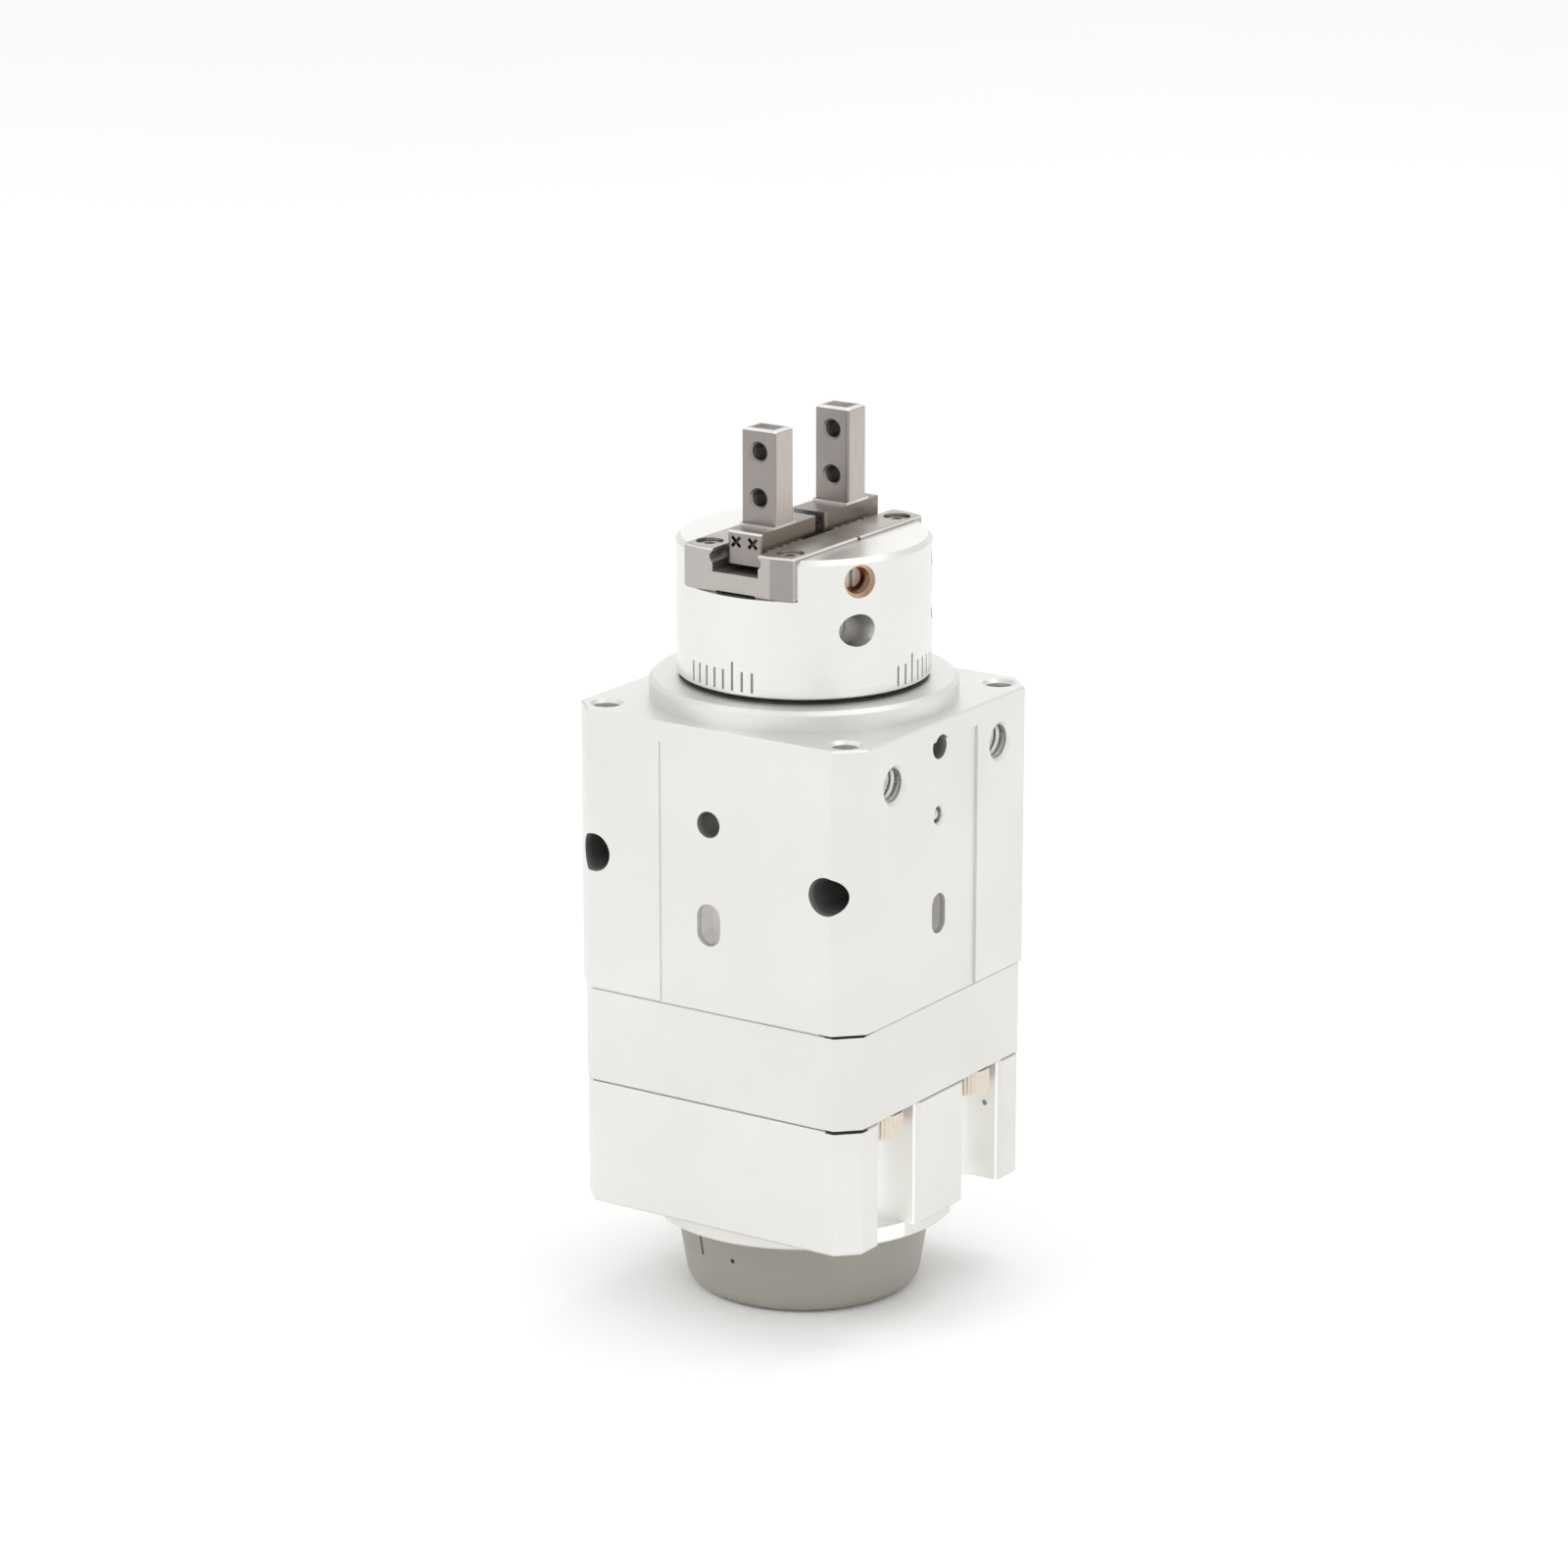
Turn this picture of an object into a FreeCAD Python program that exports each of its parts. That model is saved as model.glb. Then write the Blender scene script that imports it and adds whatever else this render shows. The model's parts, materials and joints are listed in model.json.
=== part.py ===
import FreeCAD, Part
import math
import os
import re
import Sketcher

# Rotary gripper: a vane-type turning drive in a stack of square blocks, with a two-finger
# parallel gripper on its turning head. Millimetres. +Z is the turning axis and points to the
# fingers, z = 0 is the bottom face of the end cap, +X is the face with the two gripping ports,
# -Y is the side-mounting face, and the fingers slide along Y. They are modelled closed.

doc = FreeCAD.newDocument("RotaryGripper")

SIZES = [
    ("cap_height", 10.3, "end cap, bottom face to boss"),
    ("cap_top_r", 16.2, "end cap radius at the boss"),
    ("cap_base_r", 14.5, "end cap radius at its bottom face, before rounding"),
    ("cap_wall", 1.6, "end cap wall"),
    ("cap_round", 2.2, "end cap bottom rounding"),
    ("cap_spigot", 1.6, "height of the end cap's spigot in the cavity"),
    ("cap_slit", 0.45, "width of the slit beside the end cap's catch"),
    ("cap_slit_drop", 4.4, "slit's lower end under the end cap's upper edge"),
    ("cap_vent_r", 0.32, "end cap vent radius"),
    ("cap_vent_drop", 3.85, "vent under the end cap's upper edge"),
    ("boss_r", 19.3, "round boss under the end block"),
    ("boss_height", 2.1, "boss height"),
    ("end_width", 40.9, "end block across flats"),
    ("end_height", 15.9, "end block height"),
    ("lower_corner", 2.6, "corner chamfer of the two lower blocks"),
    ("spacer_width", 41.0, "vane housing across flats"),
    ("spacer_height", 12.2, "vane housing height"),
    ("main_width", 42.0, "main body across flats"),
    ("main_height", 35.7, "main body height"),
    ("main_corner", 3.2, "main body corner chamfer"),
    ("edge_break", 0.25, "small chamfer on machined edges"),
    ("edge_round", 0.4, "rounding of the upright block edges"),
    ("pilot_r", 19.1, "pilot ring radius"),
    ("pilot_height", 2.6, "pilot ring height"),
    ("band_depth", 0.3, "depth of the shallow band on the +X face"),
    ("front_band_depth", 0.15, "depth of the shallow band on the -Y face"),
    ("band_stop", 2.5, "the bands end this far under the main body's top face"),
    ("band_half_y", 7.15, "half width of the band on the -Y face"),
    ("band_half_x", 6.8, "half width of the band on the +X face"),
    ("channel_x", 17.85, "switch channel centre from the axis"),
    ("channel_y", 9.65, "switch channel centre from the middle plane"),
    ("channel_r", 4.15, "switch channel radius"),
    ("mouth_flare", 0.7, "bevel of the switch channel's mouth"),
    ("cavity_r", 13.4, "end block cavity radius"),
    ("roof_height", 2.0, "end block roof over the cavity"),
    ("nick_r", 0.35, "mark drilled in the wall of one switch channel, radius"),
    ("nick_z", 22.4, "mark drilled in the wall of one switch channel, level"),
    ("nick_x", 18.2, "mark drilled in the wall of one switch channel, along X"),
    ("chamber_r", 14.2, "vane chamber radius"),
    ("chamber_low", 6.5, "vane chamber depth in the vane housing"),
    ("chamber_high", 7.0, "vane chamber depth in the main body"),
    ("running_gap", 0.05, "clearance of the vane and the stopper in the chamber"),
    ("web_height", 2.5, "web between the vane chamber and the stem bore"),
    ("housing_web", 0.8, "web between the vane chamber and the bush pocket"),
    ("gasket_r", 0.6, "section radius of the housing gasket"),
    ("gasket_out", 1.45, "housing gasket's centre line from the chamber wall"),
    ("shaft_r", 4.5, "vane shaft radius"),
    ("shaft_tail_r", 3.0, "vane shaft radius in the end block"),
    ("shaft_low", 13.6, "vane shaft lower end level"),
    ("shaft_step", 28.0, "vane shaft step level"),
    ("socket_depth", 7.5, "length of the vane shaft in the head stem"),
    ("coupling_z", 53.0, "coupling pin level"),
    ("coupling_pin_r", 1.0, "coupling pin radius"),
    ("clip_z", 14.6, "shaft circlip groove level"),
    ("clip_height", 0.7, "shaft circlip groove width"),
    ("clip_depth", 0.4, "shaft circlip groove depth"),
    ("seal_pocket_r", 6.0, "pocket radius of the bush and the shaft seals"),
    ("shaft_seal_r", 0.7, "section radius of the shaft seals"),
    ("bush_height", 3.2, "lower bush height"),
    ("stem_r", 10.0, "head stem radius"),
    ("stem_gap", 0.1, "clearance of the stem in its bore"),
    ("stem_base", 51.0, "stem bottom level"),
    ("stem_seal_r", 0.9, "section radius of the stem seals"),
    ("seal_rise", 0.2, "gap between the dust seal and the turning head"),
    ("seal_gap", 0.02, "clearance of the round seals' grooves"),
    ("bearing_r", 15.4, "upper bearing outside radius"),
    ("bearing_width", 7.0, "upper bearing width"),
    ("bearing_base", 71.2, "upper bearing bottom level"),
    ("race_r", 12.7, "upper bearing ball circle radius"),
    ("race_ball_r", 2.0, "upper bearing ball radius"),
    ("race_gap", 0.03, "clearance of the balls in the races"),
    ("race_land", 1.3, "bearing rings from the ball circle"),
    ("head_r", 15.7, "turning head radius"),
    ("head_base", 79.3, "turning head bottom level"),
    ("head_top", 96.5, "turning head top level"),
    ("bore_r", 5.0, "gripping cylinder bore radius"),
    ("bore_floor", 60.0, "gripping cylinder floor level"),
    ("guide_base", 91.5, "finger guide bottom level"),
    ("guide_top", 96.95, "finger guide top level"),
    ("guide_half", 8.0, "finger guide half width"),
    ("guide_end", 15.0, "finger guide half length in the middle"),
    ("guide_shoulder", 14.3, "finger guide half length at its sides"),
    ("guide_flat", 5.0, "half width of the flat on the guide's ends"),
    ("slot_half", 3.3, "guide slot half width"),
    ("slot_floor", 94.1, "guide slot floor level"),
    ("relief_half", 2.8, "half width of the relief under the guide's ends"),
    ("relief_height", 0.35, "height of the relief under the guide"),
    ("ball_r", 0.75, "guide ball radius"),
    ("groove_r", 0.77, "guide ball groove radius"),
    ("ball_x", 2.95, "guide ball row from the middle plane"),
    ("ball_z", 95.9, "guide ball row level"),
    ("finger_half", 2.5, "finger half width"),
    ("finger_thick", 4.0, "finger thickness"),
    ("jaw_half", 6.0, "half of the gap between the closed fingers"),
    ("finger_top", 111.0, "finger tip level"),
    ("foot_base", 94.9, "finger foot bottom level"),
    ("foot_top", 99.0, "finger foot top level"),
    ("foot_inner", 1.0, "finger foot inner end from the middle plane, closed"),
    ("foot_outer", 13.0, "finger foot outer end from the middle plane, closed"),
    ("finger_round", 0.45, "rounding of a finger's upright edges"),
    ("step_height", 0.35, "height of the step round the finger's root"),
    ("step_reach", 0.4, "reach of the step round the finger's root"),
    ("stake_x", 1.2, "stake marks from the middle plane"),
    ("stake_drop", 1.35, "stake marks under the foot's top"),
    ("finger_hole_r", 1.025, "finger thread M2.5, minor radius"),
    ("finger_hole_bevel", 0.3, "finger thread mouth bevel"),
    ("finger_hole_high", 108.2, "upper finger thread level"),
    ("finger_hole_low", 102.5, "lower finger thread level"),
    ("pivot_y", 8.3, "lever pin from the middle plane"),
    ("pivot_z", 87.7, "lever pin level"),
    ("pin_r", 1.25, "lever pin radius"),
    ("arm_up", 8.5, "lever arm to the finger"),
    ("arm_in", 6.6, "lever arm to the piston rod"),
    ("finger_travel", 2.0, "travel of each finger"),
    ("lever_half", 1.1, "lever half thickness"),
    ("hub_r", 2.3, "lever hub radius"),
    ("lever_head_r", 1.4, "radius of the lever's upper end"),
    ("lever_gap", 0.3, "clearance beside the levers"),
    ("port_r", 2.1, "M5 port, minor radius"),
    ("port_y", 12.0, "ports from the middle plane"),
    ("port_z", 70.45, "gripping ports level"),
    ("turn_port_z", 53.2, "turning ports level"),
    ("port_depth", 5.8, "port depth"),
    ("port_bevel", 0.42, "port mouth bevel"),
    ("air_r", 0.8, "drilled air passage radius"),
    ("inner_air_r", 0.75, "air passage radius in the head stem"),
    ("cross_x", 17.0, "cross holes through the main body, from the middle plane"),
    ("cross_z", 58.1, "cross holes level"),
    ("cross_r", 2.4, "cross hole radius"),
    ("key_y", -1.5, "locating features of the +X face, along Y"),
    ("front_pin_r", 1.65, "locating hole radius, -Y face"),
    ("front_pin_z", 64.3, "locating hole level, -Y face"),
    ("front_pin_depth", 4.0, "locating hole depth, -Y face"),
    ("front_slot_r", 1.7, "slot half width, -Y face"),
    ("front_slot_low", 48.95, "slot lower end, -Y face"),
    ("front_slot_high", 54.25, "slot upper end, -Y face"),
    ("side_pin_r", 1.55, "locating hole radius, +X face"),
    ("side_pin_z", 72.85, "locating hole level, +X face"),
    ("side_slot_r", 1.5, "slot half width, +X face"),
    ("side_slot_low", 49.2, "slot lower end, +X face"),
    ("side_slot_high", 54.3, "slot upper end, +X face"),
    ("key_depth", 3.5, "depth of both slots and of the +X locating hole"),
    ("seal_ball_r", 1.0, "radius of the ball that closes the drilled passage"),
    ("seal_ball_z", 64.2, "drilled passage level"),
    ("seal_ball_in", 1.6, "ball's centre under the +X face"),
    ("passage_depth", 11.5, "drilled passage depth"),
    ("top_hole", 17.4, "M4 top threads from both middle planes"),
    ("top_hole_r", 1.65, "M4 top thread, minor radius"),
    ("top_hole_depth", 10.0, "M4 top thread depth"),
    ("top_hole_bevel", 0.45, "M4 top thread mouth bevel"),
    ("joint_x", 17.9, "joint bolts along X"),
    ("joint_y", 10.0, "joint bolts along Y"),
    ("joint_bolt_r", 1.5, "joint bolt radius"),
    ("joint_bolt_length", 20.0, "joint bolt length under its head"),
    ("joint_head_r", 2.75, "joint bolt head radius"),
    ("joint_head_height", 3.0, "joint bolt head height"),
    ("end_bolt", 16.9, "end block bolts from both middle planes"),
    ("end_bolt_r", 1.25, "end block bolt radius"),
    ("end_bolt_length", 21.0, "end block bolt length under its head"),
    ("end_head_r", 2.25, "end block bolt head radius"),
    ("end_head_height", 2.5, "end block bolt head height"),
    ("end_seat", 2.6, "end block bolt heads' seat over the end block's lower face"),
    ("bolt_gap", 0.1, "clearance of the bolts in their holes and of their heads"),
    ("vane_half", 2.5, "half thickness of the vane with its seal"),
    ("vane_plate_half", 1.5, "half thickness of the vane plate"),
    ("vane_root", 1.5, "vane plate inner edge from the axis"),
    ("vane_reach", 12.8, "vane plate outer edge from the axis"),
    ("vane_end_gap", 0.6, "vane plate's ends from the chamber's floor and roof"),
    ("stopper_pin_r", 1.0, "stopper pin radius"),
    ("stopper_pin_x", 8.6, "stopper pins along X"),
    ("stopper_pin_y", 5.4, "stopper pins along Y"),
    ("inlet_y", 12.6, "air inlets of the vane chamber, along Y"),
    ("plug_r", 2.0, "lever pin plug radius"),
    ("plug_face", 10.0, "lever pin plug's outer face from the middle plane"),
    ("plug_height", 1.9, "lever pin plug height"),
    ("plug_bevel", 0.2, "bevel of the plug's outer face"),
    ("pin_low", -8.5, "lever pin inner end along X"),
    ("orifice_r", 2.05, "orifice screw radius"),
    ("orifice_z", 93.7, "orifice screw level"),
    ("orifice_floor", 10.9, "orifice hole's floor from the turning axis"),
    ("orifice_wall", 0.4, "orifice screw wall"),
    ("needle_seat", 0.9, "needle's seat over the orifice hole's floor"),
    ("needle_height", 1.2, "needle head height"),
    ("needle_slot", 0.5, "width and depth of the needle's screwdriver slot"),
    ("scale_line", 0.32, "width of the angle scale's lines"),
    ("scale_depth", 0.14, "depth of the angle scale's lines"),
    ("scale_rise", 0.6, "angle scale above the turning head's lower edge"),
    ("scale_short", 2.5, "height of the angle scale's short lines"),
    ("scale_long", 3.6, "height of the angle scale's zero lines"),
    ("guide_screw_x", 5.85, "guide screws along X"),
    ("guide_screw_y", 11.8, "guide screws along Y"),
    ("guide_screw_r", 1.0, "guide screw radius"),
    ("guide_screw_length", 9.0, "guide screw length under its head"),
    ("guide_head_r", 1.45, "guide screw head radius"),
    ("guide_head_height", 1.3, "guide screw head height"),
    ("guide_sink_r", 1.7, "guide screw counterbore radius"),
    ("guide_sink", 1.65, "guide screw counterbore depth"),
    ("rod_r", 2.25, "piston rod radius"),
    ("spigot_r", 1.6, "radius of the rod's spigot in the piston"),
    ("rod_low", 67.6, "rod's lower end level"),
    ("rod_high", 84.8, "rod's upper end level"),
    ("yoke_half_x", 2.7, "yoke half width along X"),
    ("yoke_half_y", 3.0, "yoke half length along Y"),
    ("yoke_top", 89.3, "yoke top level"),
    ("piston_low", 68.0, "piston lower face level"),
    ("piston_high", 75.0, "piston upper face level"),
    ("piston_gap", 0.1, "clearance of the piston in its bore"),
    ("piston_seal_z", 73.3, "piston seal level"),
    ("piston_seal_r", 0.78, "section radius of the piston seal"),
    ("magnet_low", 69.0, "piston magnet lower level"),
    ("magnet_high", 71.4, "piston magnet upper level"),
    ("magnet_r", 3.6, "piston magnet inner radius"),
    ("cover_low", 79.0, "rod cover lower level"),
    ("cover_high", 83.4, "rod cover upper level"),
    ("rod_seal_z", 81.2, "rod seal level"),
    ("rod_seal_r", 0.56, "section radius of the rod seal"),
    ("lever_tip_r", 1.1, "lever tip radius in the piston rod's yoke"),
    ("arm_base", 16.2, "magnet lever lower level"),
    ("arm_height", 4.0, "magnet lever height"),
    ("arm_hub_r", 5.6, "magnet lever hub radius"),
    ("arm_reach", 11.6, "magnet lever reach"),
    ("arm_half", 3.0, "magnet lever half width"),
    ("switch_half", 2.0, "switch magnet half width"),
    ("switch_in", 7.6, "switch magnet inner face from the axis"),
    ("switch_out", 10.4, "switch magnet outer face from the axis"),
    ("switch_base", 17.7, "switch magnet lower level"),
]

sheet = doc.addObject("Spreadsheet::Sheet", "Sizes")
for row, (alias, number, remark) in enumerate(SIZES, start=1):
    sheet.set(f"A{row}", alias)
    sheet.set(f"B{row}", str(number))
    sheet.set(f"C{row}", remark)
    sheet.setAlias(f"B{row}", alias)
doc.recompute()

ALIASES = {alias for alias, number, remark in SIZES}

END_BASE = "(cap_height + boss_height)"
SPACER_BASE = "(cap_height + boss_height + end_height)"
MAIN_BASE = "(cap_height + boss_height + end_height + spacer_height)"
MAIN_TOP = "(cap_height + boss_height + end_height + spacer_height + main_height)"
PILOT_TOP = "(cap_height + boss_height + end_height + spacer_height + main_height + pilot_height)"
CHAMBER_FLOOR = f"({MAIN_BASE} - chamber_low)"
CHAMBER_ROOF = f"({MAIN_BASE} + chamber_high)"
SIGNS = (-1, 1)
CORNERS = [(sx, sy) for sx in SIGNS for sy in SIGNS]
AXIS_TURN = {
    "Z": FreeCAD.Rotation(),
    "X": FreeCAD.Rotation(FreeCAD.Vector(0, 1, 0), 90),
    "Y": FreeCAD.Rotation(FreeCAD.Vector(1, 0, 0), -90),
}
nodes = []


# ---------------------------------------------------------------- expressions

def bound(text):
    """The expression with every alias written as a cell of the sheet."""
    return re.sub(r"[a-z][a-z_]*", lambda m: f"Sizes.{m[0]}" if m[0] in ALIASES else m[0], str(text))


def value(text):
    """The number that an expression of sheet aliases stands for."""
    result = sheet.evalExpression(bound(text))
    return float(getattr(result, "Value", result))


def bind(obj, prop, text):
    obj.setExpression(prop, bound(text))


def node(obj, label):
    """Names an object as a sub-part of the assembly."""
    obj.Label = label
    nodes.append(obj)
    return obj


# ---------------------------------------------------------------- primitives

def placed(obj, x, y, z, axis="Z"):
    obj.Placement = FreeCAD.Placement(FreeCAD.Vector(value(x), value(y), value(z)), AXIS_TURN[axis])
    for letter, text in zip("xyz", (x, y, z)):
        bind(obj, f"Placement.Base.{letter}", text)
    return obj


def cylinder(radius, height, x=0, y=0, z=0, axis="Z"):
    obj = doc.addObject("Part::Cylinder", "Cylinder")
    bind(obj, "Radius", radius)
    bind(obj, "Height", height)
    return placed(obj, x, y, z, axis)


def cone(radius1, radius2, height, x=0, y=0, z=0, axis="Z"):
    obj = doc.addObject("Part::Cone", "Cone")
    bind(obj, "Radius1", radius1)
    bind(obj, "Radius2", radius2)
    bind(obj, "Height", height)
    return placed(obj, x, y, z, axis)


def torus(ring, section, z):
    obj = doc.addObject("Part::Torus", "Torus")
    bind(obj, "Radius1", ring)
    bind(obj, "Radius2", section)
    return placed(obj, 0, 0, z)


def sphere(radius, x, y, z):
    obj = doc.addObject("Part::Sphere", "Sphere")
    bind(obj, "Radius", radius)
    return placed(obj, x, y, z)


def box(x0, x1, y0, y1, z0, z1):
    """A box between two corners, each bound to the sheet."""
    obj = doc.addObject("Part::Box", "Box")
    bind(obj, "Length", f"({x1}) - ({x0})")
    bind(obj, "Width", f"({y1}) - ({y0})")
    bind(obj, "Height", f"({z1}) - ({z0})")
    return placed(obj, x0, y0, z0)


def hexagon(circumradius, height, x, y, z, axis="Z"):
    obj = doc.addObject("Part::Prism", "Hexagon")
    obj.Polygon = 6
    bind(obj, "Circumradius", circumradius)
    bind(obj, "Height", height)
    return placed(obj, x, y, z, axis)


def drilling(radius, start, end):
    """A drilled passage between two points, given as three expressions each."""
    first = FreeCAD.Vector(*[value(text) for text in start])
    last = FreeCAD.Vector(*[value(text) for text in end])
    obj = doc.addObject("Part::Cylinder", "Drilling")
    bind(obj, "Radius", radius)
    obj.Height = (last - first).Length
    obj.Placement = FreeCAD.Placement(first, FreeCAD.Rotation(FreeCAD.Vector(0, 0, 1), last - first))
    return obj


def radial_point(angle, radius, level):
    """Three expressions for a point at an angle about the turning axis, in degrees."""
    return (f"({radius}) * {math.cos(math.radians(angle)):.6f}",
            f"({radius}) * {math.sin(math.radians(angle)):.6f}", level)


def turned_box(angle, radius, depth, width, level, height):
    """A box that stands outwards from a radius at an angle about the turning axis."""
    obj = doc.addObject("Part::Box", "TurnedBox")
    bind(obj, "Length", depth)
    bind(obj, "Width", width)
    bind(obj, "Height", height)
    turn = FreeCAD.Rotation(FreeCAD.Vector(0, 0, 1), angle)
    start = FreeCAD.Vector(value(radius), -value(width) / 2, value(level))
    obj.Placement = FreeCAD.Placement(turn.multVec(start), turn)
    return obj


def fuse(parts, name="Fusion"):
    obj = doc.addObject("Part::MultiFuse", name)
    obj.Shapes = parts
    return obj


def common(parts, name="Common"):
    obj = doc.addObject("Part::MultiCommon", name)
    obj.Shapes = parts
    return obj


def cut(base, tools, name="Cut"):
    obj = doc.addObject("Part::Cut", name)
    obj.Base = base
    obj.Tool = tools[0] if len(tools) == 1 else fuse(tools, "Tools")
    return obj


def ring(inner, outer, z0, z1):
    height = f"({z1}) - ({z0})"
    return cut(cylinder(outer, height, z=z0), [cylinder(inner, height, z=z0)], "Ring")


# ---------------------------------------------------------------- part design

def origin_plane(body, role):
    return next(feature for feature in body.Origin.OriginFeatures if feature.Role == role)


def new_body(name):
    return doc.addObject("PartDesign::Body", name)


def new_sketch(body, role, offset=0):
    sketch = body.newObject("Sketcher::SketchObject", "Sketch")
    sketch.AttachmentSupport = [(origin_plane(body, role), "")]
    sketch.MapMode = "FlatFace"
    bind(sketch, "AttachmentOffset.Base.z", offset)
    return sketch


def fix(sketch, kind, geometry, point, text):
    """Holds one coordinate of a point to an expression, or to an axis where it is nought."""
    if value(text) == 0:
        axis = -2 if kind == "DistanceX" else -1
        sketch.addConstraint(Sketcher.Constraint("PointOnObject", geometry, point, axis))
        return
    index = sketch.addConstraint(Sketcher.Constraint(kind, -1, 1, geometry, point, value(text)))
    bind(sketch, f"Constraints[{index}]", text)


def outline(sketch, points):
    """A closed outline of straight lines through points given as expressions."""
    spots = [FreeCAD.Vector(value(x), value(y), 0) for x, y in points]
    first = sketch.GeometryCount
    for start, end in zip(spots, spots[1:] + spots[:1]):
        sketch.addGeometry(Part.LineSegment(start, end), False)
    for number, (x, y) in enumerate(points):
        before = first + (number - 1) % len(points)
        sketch.addConstraint(Sketcher.Constraint("Coincident", before, 2, first + number, 1))
        fix(sketch, "DistanceX", first + number, 1, x)
        fix(sketch, "DistanceY", first + number, 1, y)


def circle(sketch, x, y, radius):
    spot = FreeCAD.Vector(value(x), value(y), 0)
    number = sketch.addGeometry(Part.Circle(spot, FreeCAD.Vector(0, 0, 1), value(radius)), False)
    fix(sketch, "DistanceX", number, 3, x)
    fix(sketch, "DistanceY", number, 3, y)
    index = sketch.addConstraint(Sketcher.Constraint("Radius", number, value(radius)))
    bind(sketch, f"Constraints[{index}]", radius)


def pad(body, sketch, length, name="Pad"):
    feature = body.newObject("PartDesign::Pad", name)
    feature.Profile = sketch
    bind(feature, "Length", length)
    return feature


def pocket(body, sketch, length, name="Pocket"):
    """Cuts along the sketch plane's own normal, and makes sure that something was cut."""
    before = body.Shape.Volume
    feature = body.newObject("PartDesign::Pocket", name)
    feature.Profile = sketch
    feature.Reversed = True
    bind(feature, "Length", length)
    doc.recompute()
    if body.Shape.Volume > before - 1e-6:
        raise RuntimeError(f"{body.Name}: {name} cut nothing")
    return feature


def turned(body, points, name="Revolution", cutting=False):
    """A full turn about Z of an outline in (radius, level) expressions."""
    before = body.Shape.Volume if cutting else 0
    sketch = new_sketch(body, "XZ_Plane")
    outline(sketch, points)
    feature = body.newObject("PartDesign::Groove" if cutting else "PartDesign::Revolution", name)
    feature.Profile = sketch
    feature.ReferenceAxis = (sketch, ["V_Axis"])
    feature.Angle = 360
    doc.recompute()
    if cutting and body.Shape.Volume > before - 1e-6:
        raise RuntimeError(f"{body.Name}: {name} cut nothing")
    return feature


def edges_where(shape, test):
    return [f"Edge{number}" for number, edge in enumerate(shape.Edges, start=1) if test(edge)]


def dressed(body, kind, size_name, size, test):
    """A Fillet or Chamfer on the body's edges that pass the test."""
    doc.recompute()
    last = body.Tip
    names = edges_where(last.Shape, test)
    feature = body.newObject(f"PartDesign::{kind}", kind)
    feature.Base = (last, names)
    bind(feature, size_name, size)
    doc.recompute()
    return feature


def is_upright(edge):
    direction = edge.Vertexes[-1].Point - edge.Vertexes[0].Point
    return direction.Length > 1 and abs(direction.z) > 0.99 * direction.Length


def is_level(edge, level, tolerance=1e-4):
    box_of = edge.BoundBox
    return abs(box_of.ZMin - level) < tolerance and abs(box_of.ZMax - level) < tolerance


def chamfered_square(width, corner):
    """The eight points of a square with cut corners."""
    far = f"{width} / 2"
    near = f"({width} / 2 - {corner})"
    return [(near, f"-{far}"), (far, f"-{near}"), (far, near), (near, far),
            (f"-{near}", far), (f"-{far}", near), (f"-{far}", f"-{near}"), (f"-{near}", f"-{far}")]


def square_block(name, width, corner, base, height):
    """A square block with cut corners, rounded upright edges and broken end edges."""
    body = new_body(name)
    sketch = new_sketch(body, "XY_Plane", base)
    outline(sketch, chamfered_square(width, corner))
    pad(body, sketch, height, "BlockPad")
    dressed(body, "Fillet", "Radius", "edge_round", is_upright)
    low = value(base)
    high = value(f"{base} + {height}")
    dressed(body, "Chamfer", "Size", "edge_break",
            lambda edge: is_level(edge, low) or is_level(edge, high))
    return body


# ---------------------------------------------------------------- repeated pieces

def socket_screw(head_r, head_height, shank_r, shank_length, x, y, seat, up=True):
    """A hexagon socket cap screw whose head sits on the level of the seat."""
    if up:
        head = cylinder(head_r, head_height, x, y, f"{seat} - {head_height}")
        shank = cylinder(shank_r, shank_length, x, y, seat)
        key = hexagon(f"{head_r} * 0.5", f"{head_height} * 0.55", x, y, f"{seat} - {head_height}")
    else:
        head = cylinder(head_r, head_height, x, y, seat)
        shank = cylinder(shank_r, shank_length, x, y, f"{seat} - {shank_length}")
        key = hexagon(f"{head_r} * 0.5", f"{head_height} * 0.55", x, y, f"{seat} + {head_height} * 0.45")
    return cut(fuse([head, shank]), [key], "Screw")


def upright_slot(half_width, z0, z1, face, along, side):
    """A round-ended upright slot cut into the +X or the -Y face of the main body."""
    low = f"{z0} + {half_width}"
    high = f"{z1} - {half_width}"
    reach = "key_depth + 1"
    if side == "X":
        start = f"{face} - key_depth"
        middle = box(start, f"{face} + 1", f"{along} - {half_width}", f"{along} + {half_width}", low, high)
        ends = [cylinder(half_width, reach, start, along, level, "X") for level in (low, high)]
    else:
        start = f"-({face}) - 1"
        middle = box(f"{along} - {half_width}", f"{along} + {half_width}", start, f"{start} + {reach}", low, high)
        ends = [cylinder(half_width, reach, along, start, level, "Y") for level in (low, high)]
    return [middle] + ends


# ---------------------------------------------------------------- housing

def stopper_pin_holes(level):
    return [cylinder("stopper_pin_r", 2, "stopper_pin_x", f"{sign} * stopper_pin_y", level) for sign in SIGNS]


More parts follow.
